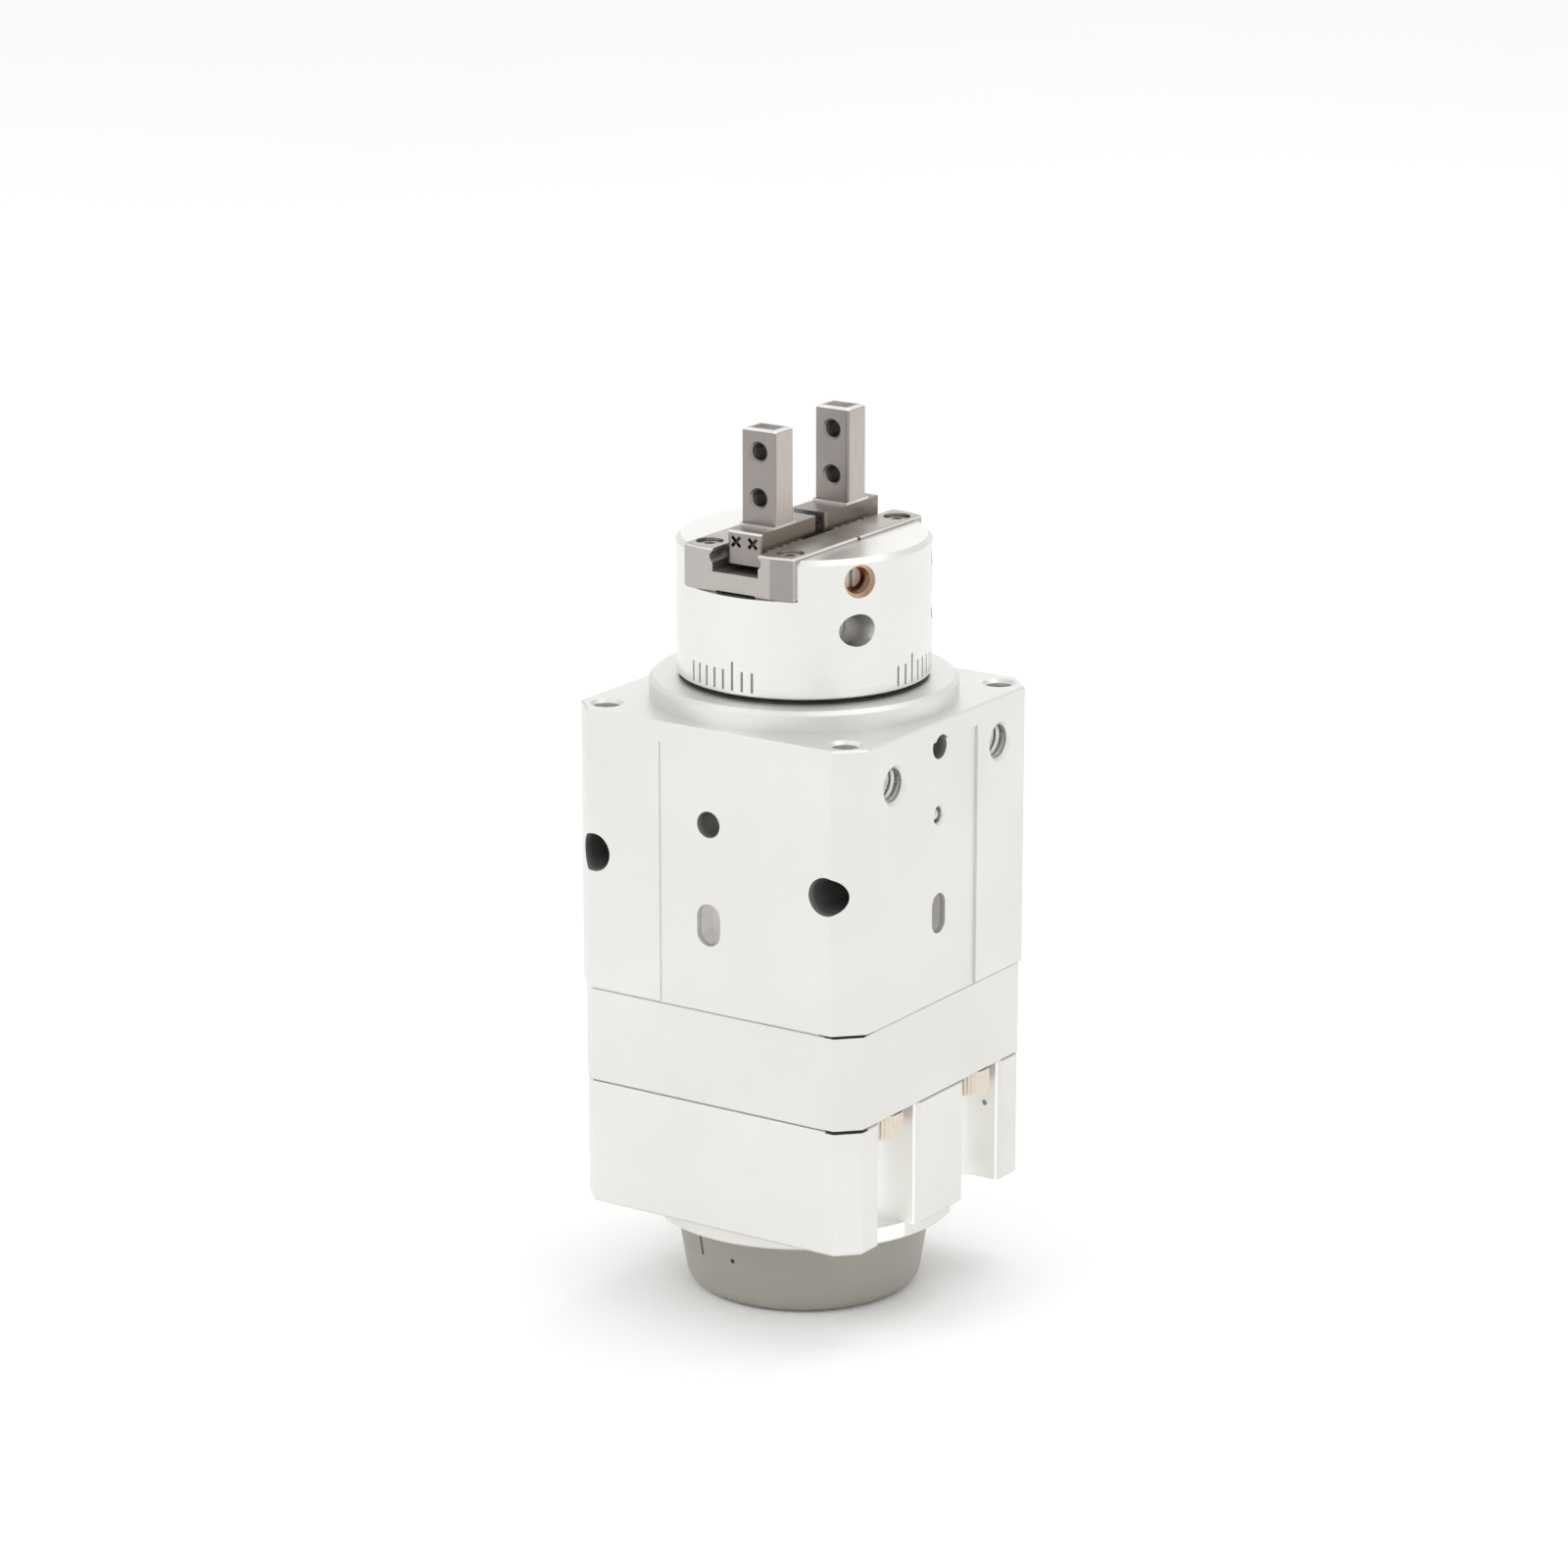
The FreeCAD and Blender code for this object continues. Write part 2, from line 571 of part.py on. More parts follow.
def make_main_body():
    body = square_block("MainBlock", "main_width", "main_corner", MAIN_BASE, "main_height")
    sketch = new_sketch(body, "XY_Plane", MAIN_TOP)
    circle(sketch, 0, 0, "pilot_r")
    pad(body, sketch, "pilot_height", "PilotPad")
    top = value(PILOT_TOP)
    dressed(body, "Chamfer", "Size", "edge_break * 2", lambda edge: is_level(edge, top))
    web = f"({CHAMBER_ROOF} + web_height)"
    bore = "(stem_r + stem_gap)"
    turned(body, [(0, f"{MAIN_BASE} - 1"), ("chamber_r", f"{MAIN_BASE} - 1"), ("chamber_r", CHAMBER_ROOF),
                  ("shaft_r + stem_gap", CHAMBER_ROOF), ("shaft_r + stem_gap", web), (bore, web),
                  (bore, "bearing_base"), ("bearing_r", "bearing_base"), ("bearing_r", f"{PILOT_TOP} + 1"),
                  (0, f"{PILOT_TOP} + 1")], "BoreGroove", True)
    for level in STEM_SEAL_LEVELS:
        low = f"{level} - stem_seal_r - seal_gap"
        high = f"{level} + stem_seal_r + seal_gap"
        outer = "stem_r + 2 * (stem_seal_r + seal_gap)"
        turned(body, [("stem_r", low), (outer, low), (outer, high), ("stem_r", high)], "SealGroove", True)
    low = f"{UPPER_SHAFT_SEAL} - shaft_seal_r - seal_gap"
    high = f"{UPPER_SHAFT_SEAL} + shaft_seal_r + seal_gap"
    turned(body, [("shaft_r", low), ("seal_pocket_r", low), ("seal_pocket_r", high), ("shaft_r", high)],
           "ShaftSealGroove", True)
    half = "main_width / 2"
    band_top = f"{MAIN_TOP} - band_stop"
    tools = [
        box("-band_half_y", "band_half_y", f"-{half} - 1", f"-{half} + front_band_depth",
            f"{MAIN_BASE} - 1", band_top),
        box(f"{half} - band_depth", f"{half} + 1", "-band_half_x", "band_half_x", f"{MAIN_BASE} - 1", band_top),
        cylinder("front_pin_r", "front_pin_depth + 1", 0, f"-{half} - 1", "front_pin_z", "Y"),
        cylinder("side_pin_r", "key_depth + 1", f"{half} - key_depth", "key_y", "side_pin_z", "X"),
        cylinder("seal_ball_r", "passage_depth + 1", f"{half} - passage_depth", "key_y", "seal_ball_z", "X"),
        cone("seal_ball_r", "seal_ball_r + band_depth", "band_depth", f"{half} - 2 * band_depth", "key_y",
             "seal_ball_z", "X"),
    ]
    tools += upright_slot("front_slot_r", "front_slot_low", "front_slot_high", half, 0, "Y")
    tools += upright_slot("side_slot_r", "side_slot_low", "side_slot_high", half, "key_y", "X")
    for sign in SIGNS:
        tools.append(cylinder("cross_r", "main_width + 4", f"{sign} * cross_x", f"-{half} - 2", "cross_z", "Y"))
        y = f"{sign} * port_y"
        flare = "port_r + port_bevel"
        tools.append(cylinder("port_r", "port_depth + 1", f"{half} - port_depth", y, "port_z", "X"))
        tools.append(cone("port_r", flare, "port_bevel", f"{half} - port_bevel", y, "port_z", "X"))
        tools.append(cylinder("port_r", "port_depth + 1", f"-{half} - 1", y, "turn_port_z", "X"))
        tools.append(cone(flare, "port_r", "port_bevel", f"-{half}", y, "turn_port_z", "X"))
        # One air passage slants from each gripping port to the stem, and from each turning port to the chamber.
        port_end = (f"{half} - 4.4", y, "port_z - 1")
        stem_end = ("stem_r - 0.6", f"{sign} * 3.6", STEM_INLETS[sign])
        tools.append(drilling("air_r", port_end, stem_end))
        port_end = (f"4.8 - {half}", y, "turn_port_z - 0.6")
        chamber_end = ("vane_half + 0.9", f"{sign} * inlet_y", f"{CHAMBER_ROOF} - 1.1")
        tools.append(drilling("air_r", port_end, chamber_end))
    for sx, sy in CORNERS:
        x = f"{sx} * top_hole"
        y = f"{sy} * top_hole"
        tools.append(cylinder("top_hole_r", "top_hole_depth + 1", x, y, f"{MAIN_TOP} - top_hole_depth"))
        tools.append(cone("top_hole_r", "top_hole_r + top_hole_bevel", "top_hole_bevel", x, y,
                          f"{MAIN_TOP} - top_hole_bevel"))
        tools.append(cylinder("joint_bolt_r", "joint_bolt_length - spacer_height + 2", f"{sx} * joint_x",
                              f"{sy} * joint_y", f"{MAIN_BASE} - 0.5"))
    tools += stopper_pin_holes(f"{CHAMBER_ROOF} - 0.5")
    node(cut(body, tools, "MainBody"), "main_body")


def make_vane_housing():
    body = square_block("HousingBlock", "spacer_width", "lower_corner", SPACER_BASE, "spacer_height")
    lip = f"({CHAMBER_FLOOR} - housing_web)"
    turned(body, [(0, f"{SPACER_BASE} - 1"), ("seal_pocket_r", f"{SPACER_BASE} - 1"), ("seal_pocket_r", lip),
                  ("shaft_r + stem_gap", lip), ("shaft_r + stem_gap", CHAMBER_FLOOR),
                  ("chamber_r", CHAMBER_FLOOR), ("chamber_r", f"{MAIN_BASE} + 1"),
                  (0, f"{MAIN_BASE} + 1")], "ChamberGroove", True)
    inner = "chamber_r + gasket_out - gasket_r"
    outer = "chamber_r + gasket_out + gasket_r"
    floor = f"{MAIN_BASE} - 2 * gasket_r"
    turned(body, [(inner, floor), (outer, floor), (outer, f"{MAIN_BASE} + 1"), (inner, f"{MAIN_BASE} + 1")],
           "GasketGroove", True)
    tools = []
    for sx, sy in CORNERS:
        tools.append(cylinder("joint_bolt_r + bolt_gap", "spacer_height + 2", f"{sx} * joint_x",
                              f"{sy} * joint_y", f"{SPACER_BASE} - 1"))
        tools.append(cylinder("end_bolt_r", "end_seat + end_bolt_length - end_height + 1.3",
                              f"{sx} * end_bolt", f"{sy} * end_bolt", f"{SPACER_BASE} - 1"))
    tools += stopper_pin_holes(f"{CHAMBER_FLOOR} - 1.5")
    node(cut(body, tools, "VaneHousing"), "vane_housing")


def make_end_block():
    body = square_block("EndBlock", "end_width", "lower_corner", END_BASE, "end_height")
    sketch = new_sketch(body, "XY_Plane", "cap_height")
    circle(sketch, 0, 0, "boss_r")
    pad(body, sketch, "boss_height + 0.5", "BossPad")
    bottom = value("cap_height")
    dressed(body, "Chamfer", "Size", "edge_break", lambda edge: is_level(edge, bottom))
    roof = f"({SPACER_BASE} - roof_height)"
    turned(body, [(0, "cap_height - 1"), ("cavity_r", "cap_height - 1"), ("cavity_r", roof),
                  ("seal_pocket_r", roof), ("seal_pocket_r", f"{SPACER_BASE} + 1"),
                  (0, f"{SPACER_BASE} + 1")], "CavityGroove", True)
    face = "end_width / 2"
    for sx, sy in CORNERS:
        near = f"{sy} * (channel_y - channel_r)"
        far = f"{sy} * (channel_y + channel_r)"
        near_flare = f"{sy} * (channel_y - channel_r - mouth_flare)"
        far_flare = f"{sy} * (channel_y + channel_r + mouth_flare)"
        bevel = f"{sx} * ({face} - mouth_flare)"
        out = f"{sx} * {face}"
        past = f"{sx} * ({face} + 1)"
        sketch = new_sketch(body, "XY_Plane", END_BASE)
        outline(sketch, [(f"{sx} * channel_x", near), (bevel, near), (out, near_flare), (past, near_flare),
                         (past, far_flare), (out, far_flare), (bevel, far), (f"{sx} * channel_x", far)])
        pocket(body, sketch, "end_height + 1", "ChannelMouth")
        sketch = new_sketch(body, "XY_Plane", END_BASE)
        circle(sketch, f"{sx} * channel_x", f"{sy} * channel_y", "channel_r")
        pocket(body, sketch, "end_height + 1", "ChannelRound")
    tools = []
    for sx, sy in CORNERS:
        x = f"{sx} * end_bolt"
        y = f"{sy} * end_bolt"
        tools.append(cylinder("end_bolt_r + bolt_gap", "end_height + 2", x, y, f"{END_BASE} - 1"))
        tools.append(cylinder("end_head_r + bolt_gap", "end_seat + 1", x, y, f"{END_BASE} - 1"))
    # A small drilled mark in the wall of the +X, +Y channel.
    tools.append(cylinder("nick_r", 1.2, "nick_x", "channel_y + channel_r - 0.6", "nick_z", "Y"))
    node(cut(body, tools, "EndBlockDrilled"), "end_block")


def make_end_cap():
    body = new_body("EndCap")
    turned(body, [(0, 0), ("cap_base_r", 0), ("cap_top_r", "cap_height"), ("cavity_r - 0.05", "cap_height"),
                  ("cavity_r - 0.05", "cap_height + cap_spigot"),
                  ("cavity_r - cap_wall", "cap_height + cap_spigot"),
                  ("cavity_r - cap_wall", "cap_height"), ("cap_base_r - cap_wall - 1", "cap_wall"),
                  (0, "cap_wall")], "CapTurned")
    dressed(body, "Fillet", "Radius", "cap_round", lambda edge: is_level(edge, 0))
    # A slit beside the cap's catch and a small vent hole.
    slit = turned_box(CAP_SLIT_ANGLE, "cap_base_r - 0.6", 3, "cap_slit", "cap_height - cap_slit_drop",
                      "cap_slit_drop + 1")
    vent = drilling("cap_vent_r", radial_point(CAP_VENT_ANGLE, "cap_base_r - 3", "cap_height - cap_vent_drop"),
                    radial_point(CAP_VENT_ANGLE, "cap_top_r + 1", "cap_height - cap_vent_drop"))
    node(cut(body, [slit, vent], "EndCapSlit"), "end_cap")


def make_housing_screws():
    joint = [socket_screw("joint_head_r", "joint_head_height", "joint_bolt_r", "joint_bolt_length",
                          f"{sx} * joint_x", f"{sy} * joint_y", SPACER_BASE) for sx, sy in CORNERS]
    node(fuse(joint, "JointBolts"), "joint_bolts")
    end = [socket_screw("end_head_r", "end_head_height", "end_bolt_r", "end_bolt_length",
                        f"{sx} * end_bolt", f"{sy} * end_bolt", f"({END_BASE} + end_seat)")
           for sx, sy in CORNERS]
    node(fuse(end, "EndBlockBolts"), "end_block_bolts")


def make_bearings_and_seals():
    middle = "(bearing_base + bearing_width / 2)"
    race = torus("race_r", "race_ball_r + race_gap", middle)
    top = "bearing_base + bearing_width"
    node(cut(ring("race_r + race_land", "bearing_r", "bearing_base", top), [race]), "bearing_outer_ring")
    race = torus("race_r", "race_ball_r + race_gap", middle)
    node(cut(ring("stem_r", "race_r - race_land", "bearing_base", top), [race]), "bearing_inner_ring")
    balls = []
    for number in range(BEARING_BALLS):
        angle = 2 * math.pi * number / BEARING_BALLS
        balls.append(sphere("race_ball_r", f"race_r * {math.cos(angle):.6f}",
                            f"race_r * {math.sin(angle):.6f}", middle))
    node(fuse(balls, "BearingBalls"), "bearing_balls")
    bush_base = f"({SPACER_BASE} + 0.2)"
    node(ring("shaft_r + seal_gap", "seal_pocket_r", bush_base, f"{bush_base} + bush_height"), "lower_bearing")
    rings = [torus("shaft_r + shaft_seal_r + seal_gap", "shaft_seal_r", level)
             for level in (LOWER_SHAFT_SEAL, UPPER_SHAFT_SEAL)]
    node(fuse(rings, "ShaftSeals"), "shaft_seals")
    rings = [torus("stem_r + stem_seal_r + seal_gap", "stem_seal_r", level) for level in STEM_SEAL_LEVELS]
    node(fuse(rings, "StemSeals"), "stem_seals")
    node(ring("stem_r + 0.3", "bearing_r - 0.05", f"{PILOT_TOP} - 0.55", "head_base - seal_rise"), "dust_seal")
    node(torus("chamber_r + gasket_out", "gasket_r", f"{MAIN_BASE} - gasket_r"), "housing_gasket")
    node(sphere("seal_ball_r", "main_width / 2 - seal_ball_in", "key_y", "seal_ball_z"), "passage_plug")


def make_stopper():
    low = f"({CHAMBER_FLOOR} + running_gap)"
    height = "chamber_low + chamber_high - 2 * running_gap"
    rim = cylinder("chamber_r - 0.02", height, z=low)
    side = box("vane_half + running_gap", "chamber_r + 1", "-chamber_r - 1", "chamber_r + 1",
               f"{low} - 1", f"{CHAMBER_ROOF} + 1")
    tools = [cylinder("shaft_r + running_gap", f"{height} + 2", z=f"{low} - 1")]
    for sign in SIGNS:
        tools.append(cylinder("stopper_pin_r", f"{height} + 2", "stopper_pin_x", f"{sign} * stopper_pin_y",
                              f"{low} - 1"))
        tools.append(box("vane_half", "vane_half + 2", f"{sign} * inlet_y - 1", f"{sign} * inlet_y + 1",
                         f"{CHAMBER_ROOF} - 2.5", f"{CHAMBER_ROOF} + 1"))
    node(cut(common([rim, side]), tools, "Stopper"), "rotation_stopper")
    pins = [cylinder("stopper_pin_r", "chamber_low + chamber_high + 2", "stopper_pin_x",
                     f"{sign} * stopper_pin_y", f"{CHAMBER_FLOOR} - 1") for sign in SIGNS]
    node(fuse(pins, "StopperPins"), "stopper_pins")


# ---------------------------------------------------------------- turning drive

def make_vane():
    body = new_body("VaneShaft")
    socket_top = "stem_base + socket_depth"
    turned(body, [(0, "shaft_low"), ("shaft_tail_r - 0.3", "shaft_low"), ("shaft_tail_r", "shaft_low + 0.3"),
                  ("shaft_tail_r", "shaft_step"), ("shaft_r", "shaft_step"), ("shaft_r", f"{socket_top} - 0.3"),
                  ("shaft_r - 0.3", socket_top), (0, socket_top)], "ShaftTurned")
    groove = "shaft_tail_r - clip_depth"
    past = "shaft_tail_r + 1"
    turned(body, [(groove, "clip_z"), (past, "clip_z"), (past, "clip_z + clip_height"),
                  (groove, "clip_z + clip_height")], "CirclipGroove", True)
    low = f"({CHAMBER_FLOOR} + vane_end_gap)"
    high = f"({CHAMBER_ROOF} - vane_end_gap)"
    slot = box("-vane_plate_half", "vane_plate_half", "vane_root", "shaft_r + 1", low, high)
    pin_hole = cylinder("coupling_pin_r", "2 * shaft_r + 2", 0, "-shaft_r - 1", "coupling_z", "Y")
    node(cut(body, [slot, pin_hole], "VaneShaftSlotted"), "vane_shaft")
    node(box("-vane_plate_half", "vane_plate_half", "vane_root", "vane_reach", low, high), "vane")
    floor = f"({CHAMBER_FLOOR} + running_gap)"
    roof = f"({CHAMBER_ROOF} - running_gap)"
    tall = "chamber_low + chamber_high + 2"
    block = box("-vane_half", "vane_half", 0, "chamber_r + 1", floor, roof)
    rim = cylinder("chamber_r - running_gap", tall, z=f"{CHAMBER_FLOOR} - 1")
    plate = box("-vane_plate_half", "vane_plate_half", "vane_root", "vane_reach", low, high)
    core = cylinder("shaft_r", tall, z=f"{CHAMBER_FLOOR} - 1")
    node(cut(common([block, rim]), [plate, core], "VaneSeal"), "vane_seal")


def make_magnet_lever():
    top = "arm_base + arm_height"
    arm = common([box("-arm_half", "arm_half", 0, "arm_reach + 1", "arm_base", top),
                  cylinder("arm_reach", "arm_height + 1", z="arm_base")])
    blank = fuse([cylinder("arm_hub_r", "arm_height", z="arm_base"), arm])
    tools = [cylinder("shaft_tail_r", "arm_height + 2", z="arm_base - 1"),
             box("-switch_half", "switch_half", "switch_in", "switch_out", "switch_base", f"{top} + 1")]
    node(cut(blank, tools, "MagnetLever"), "magnet_lever")
    node(box("-switch_half", "switch_half", "switch_in", "switch_out", "switch_base", top), "switch_magnet")
    clip = ring("shaft_tail_r - clip_depth", "shaft_tail_r + 1.6", "clip_z + 0.05", "clip_z + clip_height - 0.05")
    node(cut(clip, [box(-1.2, 1.2, 0, 6, "clip_z - 1", "clip_z + clip_height + 1")], "ShaftCirclip"),
         "shaft_circlip")


def make_head():
    body = new_body("HeadTurned")
    turned(body, [(0, "stem_base"), ("stem_r - 0.5", "stem_base"), ("stem_r", "stem_base + 0.5"),
                  ("stem_r", "head_base"), ("head_r - edge_break", "head_base"),
                  ("head_r", "head_base + edge_break"), ("head_r", "head_top - 0.6"),
                  ("head_r - 0.6", "head_top"), (0, "head_top")], "HeadTurned")
    turned(body, [(0, "stem_base - 1"), ("shaft_r", "stem_base - 1"), ("shaft_r", "stem_base + socket_depth"),
                  (0, "stem_base + socket_depth")], "ShaftBore", True)
    turned(body, [(0, "bore_floor"), ("bore_r", "bore_floor"), ("bore_r", "head_top + 1"),
                  (0, "head_top + 1")], "CylinderBore", True)
    reach = "head_r + 1"
    lever_room = "lever_half + lever_gap"
    low_inlet, high_inlet = STEM_INLETS[-1], STEM_INLETS[1]
    tools = [
        box("-guide_half", "guide_half", f"-({reach})", reach, "guide_base", "head_top + 1"),
        box(f"-({lever_room})", lever_room, "-pivot_y - hub_r - 0.5", "pivot_y + hub_r + 0.5",
            "cover_high + 2 * lever_gap", "guide_base + 0.5"),
        cylinder("coupling_pin_r", "2 * stem_r + 4", 0, "-stem_r - 2", "coupling_z", "Y"),
        # The closing air enters under the piston, and the opening air rises in the stem's wall to enter over it.
        drilling("inner_air_r", ("-stem_r - 0.6", 0, low_inlet), ("0.6 - bore_r", 0, "bore_floor + 1.3")),
        drilling("inner_air_r", ("-stem_r - 0.6", 0, high_inlet), (RISER_X, 0, high_inlet)),
        drilling("inner_air_r", (RISER_X, 0, f"{high_inlet} - 0.6"), (RISER_X, 0, "cover_low - 0.8")),
        drilling("inner_air_r", (f"{RISER_X} - 0.6", 0, "cover_low - 1.3"),
                 ("0.6 - bore_r", 0, "cover_low - 1.3")),
    ]
    for sign in SIGNS:
        y = f"{sign} * pivot_y"
        tools.append(cylinder("pin_r", 20, "pin_low - 0.1", y, "pivot_z", "X"))
        tools.append(cylinder("plug_r", 8, "plug_face - plug_height", y, "pivot_z", "X"))
        angle = sign * ORIFICE_ANGLE
        tools.append(drilling("orifice_r", radial_point(angle, "orifice_floor", "orifice_z"),
                              radial_point(angle, "head_r + 2", "orifice_z")))
    for sx, sy in CORNERS:
        tools.append(cylinder("guide_screw_r", 7, f"{sx} * guide_screw_x", f"{sy} * guide_screw_y",
                              "guide_base - 6"))
    tools += scale_lines()
    node(cut(body, tools, "Head"), "gripper_head")


def scale_lines():
    """The angle scale engraved round the foot of the head: two zero lines and short lines beside."""
    return [turned_box(angle, "head_r - scale_depth", 1, "scale_line", "head_base + scale_rise",
                       "scale_long" if angle in LONG_ANGLES else "scale_short") for angle in SCALE_ANGLES]


def make_head_fittings():
    floor_x = "plug_face - plug_height"
    pins = [cylinder("pin_r", f"{floor_x} - 0.1 - pin_low", "pin_low", f"{sign} * pivot_y", "pivot_z", "X")
            for sign in SIGNS]
    node(fuse(pins, "LeverPins"), "lever_pins")
    plugs = []
    orifices = []
    needles = []
    for sign in SIGNS:
        y = f"{sign} * pivot_y"
        blank = cylinder("plug_r", "plug_height - plug_bevel", floor_x, y, "pivot_z", "X")
        rim = cone("plug_r", "plug_r - plug_bevel", "plug_bevel", "plug_face - plug_bevel", y, "pivot_z", "X")
        plugs.append(fuse([blank, rim]))
        angle = sign * ORIFICE_ANGLE
        floor = radial_point(angle, "orifice_floor", "orifice_z")
        seat = radial_point(angle, "orifice_floor + needle_seat", "orifice_z")
        mouth = radial_point(angle, "head_r - 0.75", "orifice_z")
        past = radial_point(angle, "head_r", "orifice_z")
        needle_end = radial_point(angle, "orifice_floor + needle_seat + needle_height", "orifice_z")
        slot_floor = "orifice_floor + needle_seat + needle_height - needle_slot"
        sleeve = drilling("orifice_r", floor, mouth)
        orifices.append(cut(sleeve, [drilling("orifice_r - orifice_wall", seat, past)]))
        head = drilling("orifice_r - orifice_wall - 0.35", seat, needle_end)
        needles.append(cut(head, [turned_box(angle, slot_floor, 2, "needle_slot", "orifice_z - 2", 4)]))
    node(fuse(plugs, "PinPlugs"), "pin_plugs")
    node(fuse(orifices, "OrificeScrews"), "orifice_screws")
    node(fuse(needles, "OrificeNeedles"), "orifice_needles")
    pin_half = "stem_r - 0.3"
    node(cylinder("coupling_pin_r", f"2 * ({pin_half})", 0, f"-({pin_half})", "coupling_z", "Y"), "coupling_pin")
    cover = ring("rod_r + running_gap", "bore_r", "cover_low", "cover_high")
    groove = ring("rod_r - 0.2", "rod_r + 1.2", "rod_seal_z - 0.6", "rod_seal_z + 0.6")
    node(cut(cover, [groove], "RodCover"), "rod_cover")
    node(torus("rod_r + 0.6", "rod_seal_r", "rod_seal_z"), "rod_seal")


def make_guide():
    body = new_body("GuideBlank")
    corner = [("guide_flat", "-guide_end"), ("guide_half", "-guide_shoulder"),
              ("guide_half", "guide_shoulder"), ("guide_flat", "guide_end"),
              ("-guide_flat", "guide_end"), ("-guide_half", "guide_shoulder"),
              ("-guide_half", "-guide_shoulder"), ("-guide_flat", "-guide_end")]
    sketch = new_sketch(body, "XY_Plane", "guide_base")
    outline(sketch, corner)
    pad(body, sketch, "guide_top - guide_base", "GuidePad")
    dressed(body, "Fillet", "Radius", "edge_round", is_upright)
    low = value("guide_base")
    high = value("guide_top")
    dressed(body, "Chamfer", "Size", "edge_break", lambda edge: is_level(edge, low) or is_level(edge, high))
    tools = [box("-slot_half", "slot_half", "-guide_end - 1", "guide_end + 1", "slot_floor", "guide_top + 1")]
    for sign in SIGNS:
        tools.append(cylinder("groove_r", "2 * guide_end + 2", f"{sign} * ball_x", "-guide_end - 1",
                              "ball_z", "Y"))
        tools.append(box("-lever_half - lever_gap", "lever_half + lever_gap", f"{sign} * pivot_y - hub_r",
                         f"{sign} * pivot_y + hub_r", "guide_base - 1", "slot_floor + 1"))
    for sx, sy in CORNERS:
        x = f"{sx} * guide_screw_x"
        y = f"{sy} * guide_screw_y"
        tools.append(cylinder("guide_screw_r + 0.05", 8, x, y, "guide_base - 1"))
        tools.append(cylinder("guide_sink_r", "guide_sink + 1", x, y, "guide_top - guide_sink"))
    # A notch at mid length on the +X side marks the middle of the slide.
    tools.append(box("guide_half - 0.3", "guide_half + 1", -0.3, 0.3, "guide_top - 1", "guide_top + 1"))
    tools.append(box("-relief_half", "relief_half", "-guide_end - 1", "guide_end + 1", "guide_base - 1",
                     "guide_base + relief_height"))
    node(cut(body, tools, "Guide"), "finger_guide")
    screws = [socket_screw("guide_head_r", "guide_head_height", "guide_screw_r", "guide_screw_length",
                           f"{sx} * guide_screw_x", f"{sy} * guide_screw_y", "(guide_top - guide_sink)", up=False)
              for sx, sy in CORNERS]
    node(fuse(screws, "GuideScrews"), "guide_screws")


# ---------------------------------------------------------------- gripping drive

def make_piston():
    body = new_body("Piston")
    wall = "bore_r - piston_gap"
    turned(body, [("spigot_r", "piston_low"), (f"{wall} - 0.3", "piston_low"), (wall, "piston_low + 0.3"),
                  (wall, "piston_high - 0.3"), (f"{wall} - 0.3", "piston_high"), ("spigot_r", "piston_high")],
           "PistonTurned")
    groove = "bore_r - 2 * piston_seal_r - 0.06"
    low = "piston_seal_z - piston_seal_r - seal_gap"
    high = "piston_seal_z + piston_seal_r + seal_gap"
    past = "bore_r + 1"
    turned(body, [(groove, low), (past, low), (past, high), (groove, high)], "SealGroove", True)
    turned(body, [("magnet_r", "magnet_low"), (past, "magnet_low"), (past, "magnet_high"),
                  ("magnet_r", "magnet_high")], "MagnetGroove", True)
    node(body, "piston")
    node(torus("bore_r - piston_seal_r - 0.04", "piston_seal_r", "piston_seal_z"), "piston_seal")
    node(ring("magnet_r", "bore_r - 2 * piston_gap", "magnet_low", "magnet_high"), "piston_magnet")
    rod = new_body("RodTurned")
    turned(rod, [(0, "rod_low"), ("spigot_r", "rod_low"), ("spigot_r", "piston_high"), ("rod_r", "piston_high"),
                 ("rod_r", "rod_high"), (0, "rod_high")], "RodTurned")
    yoke = box("-yoke_half_x", "yoke_half_x", "-yoke_half_y", "yoke_half_y", "rod_high - 0.2", "yoke_top")
    level = f"(pivot_z - arm_in * {SIN_REST})"
    slot = box("-lever_half - 0.1", "lever_half + 0.1", "-yoke_half_y - 1", "yoke_half_y + 1",
               f"{level} - lever_tip_r - 0.05", f"{level} + lever_tip_r + 0.05")
    node(cut(fuse([rod, yoke]), [slot], "PistonRod"), "piston_rod")


def make_lever(label, side):
    """A bell crank: one arm up into the finger's foot, the other in to the piston rod's yoke."""
    thick = "2 * lever_half"
    pieces = [
        cylinder("hub_r", thick, "-lever_half", 0, 0, "X"),
        cylinder("lever_head_r", thick, "-lever_half", 0, "arm_up", "X"),
        cylinder("lever_tip_r", thick, "-lever_half", "arm_in", 0, "X"),
        box("-lever_half", "lever_half", -1.1, 1.1, 0, "arm_up"),
        box("-lever_half", "lever_half", 0, "arm_in", -0.8, 0.8),
    ]
    pin_hole = cylinder("pin_r + 0.03", f"{thick} + 2", "-lever_half - 1", 0, 0, "X")
    lever = cut(fuse(pieces), [pin_hole], "Lever")
    lean = FreeCAD.Rotation(FreeCAD.Vector(1, 0, 0), -REST_ANGLE)
    about = FreeCAD.Rotation(FreeCAD.Vector(0, 0, 1), 180 if side > 0 else 0)
    spot = FreeCAD.Vector(0, side * value("pivot_y"), value("pivot_z"))
    lever.Placement = FreeCAD.Placement(spot, about.multiply(lean))
    node(lever, label)


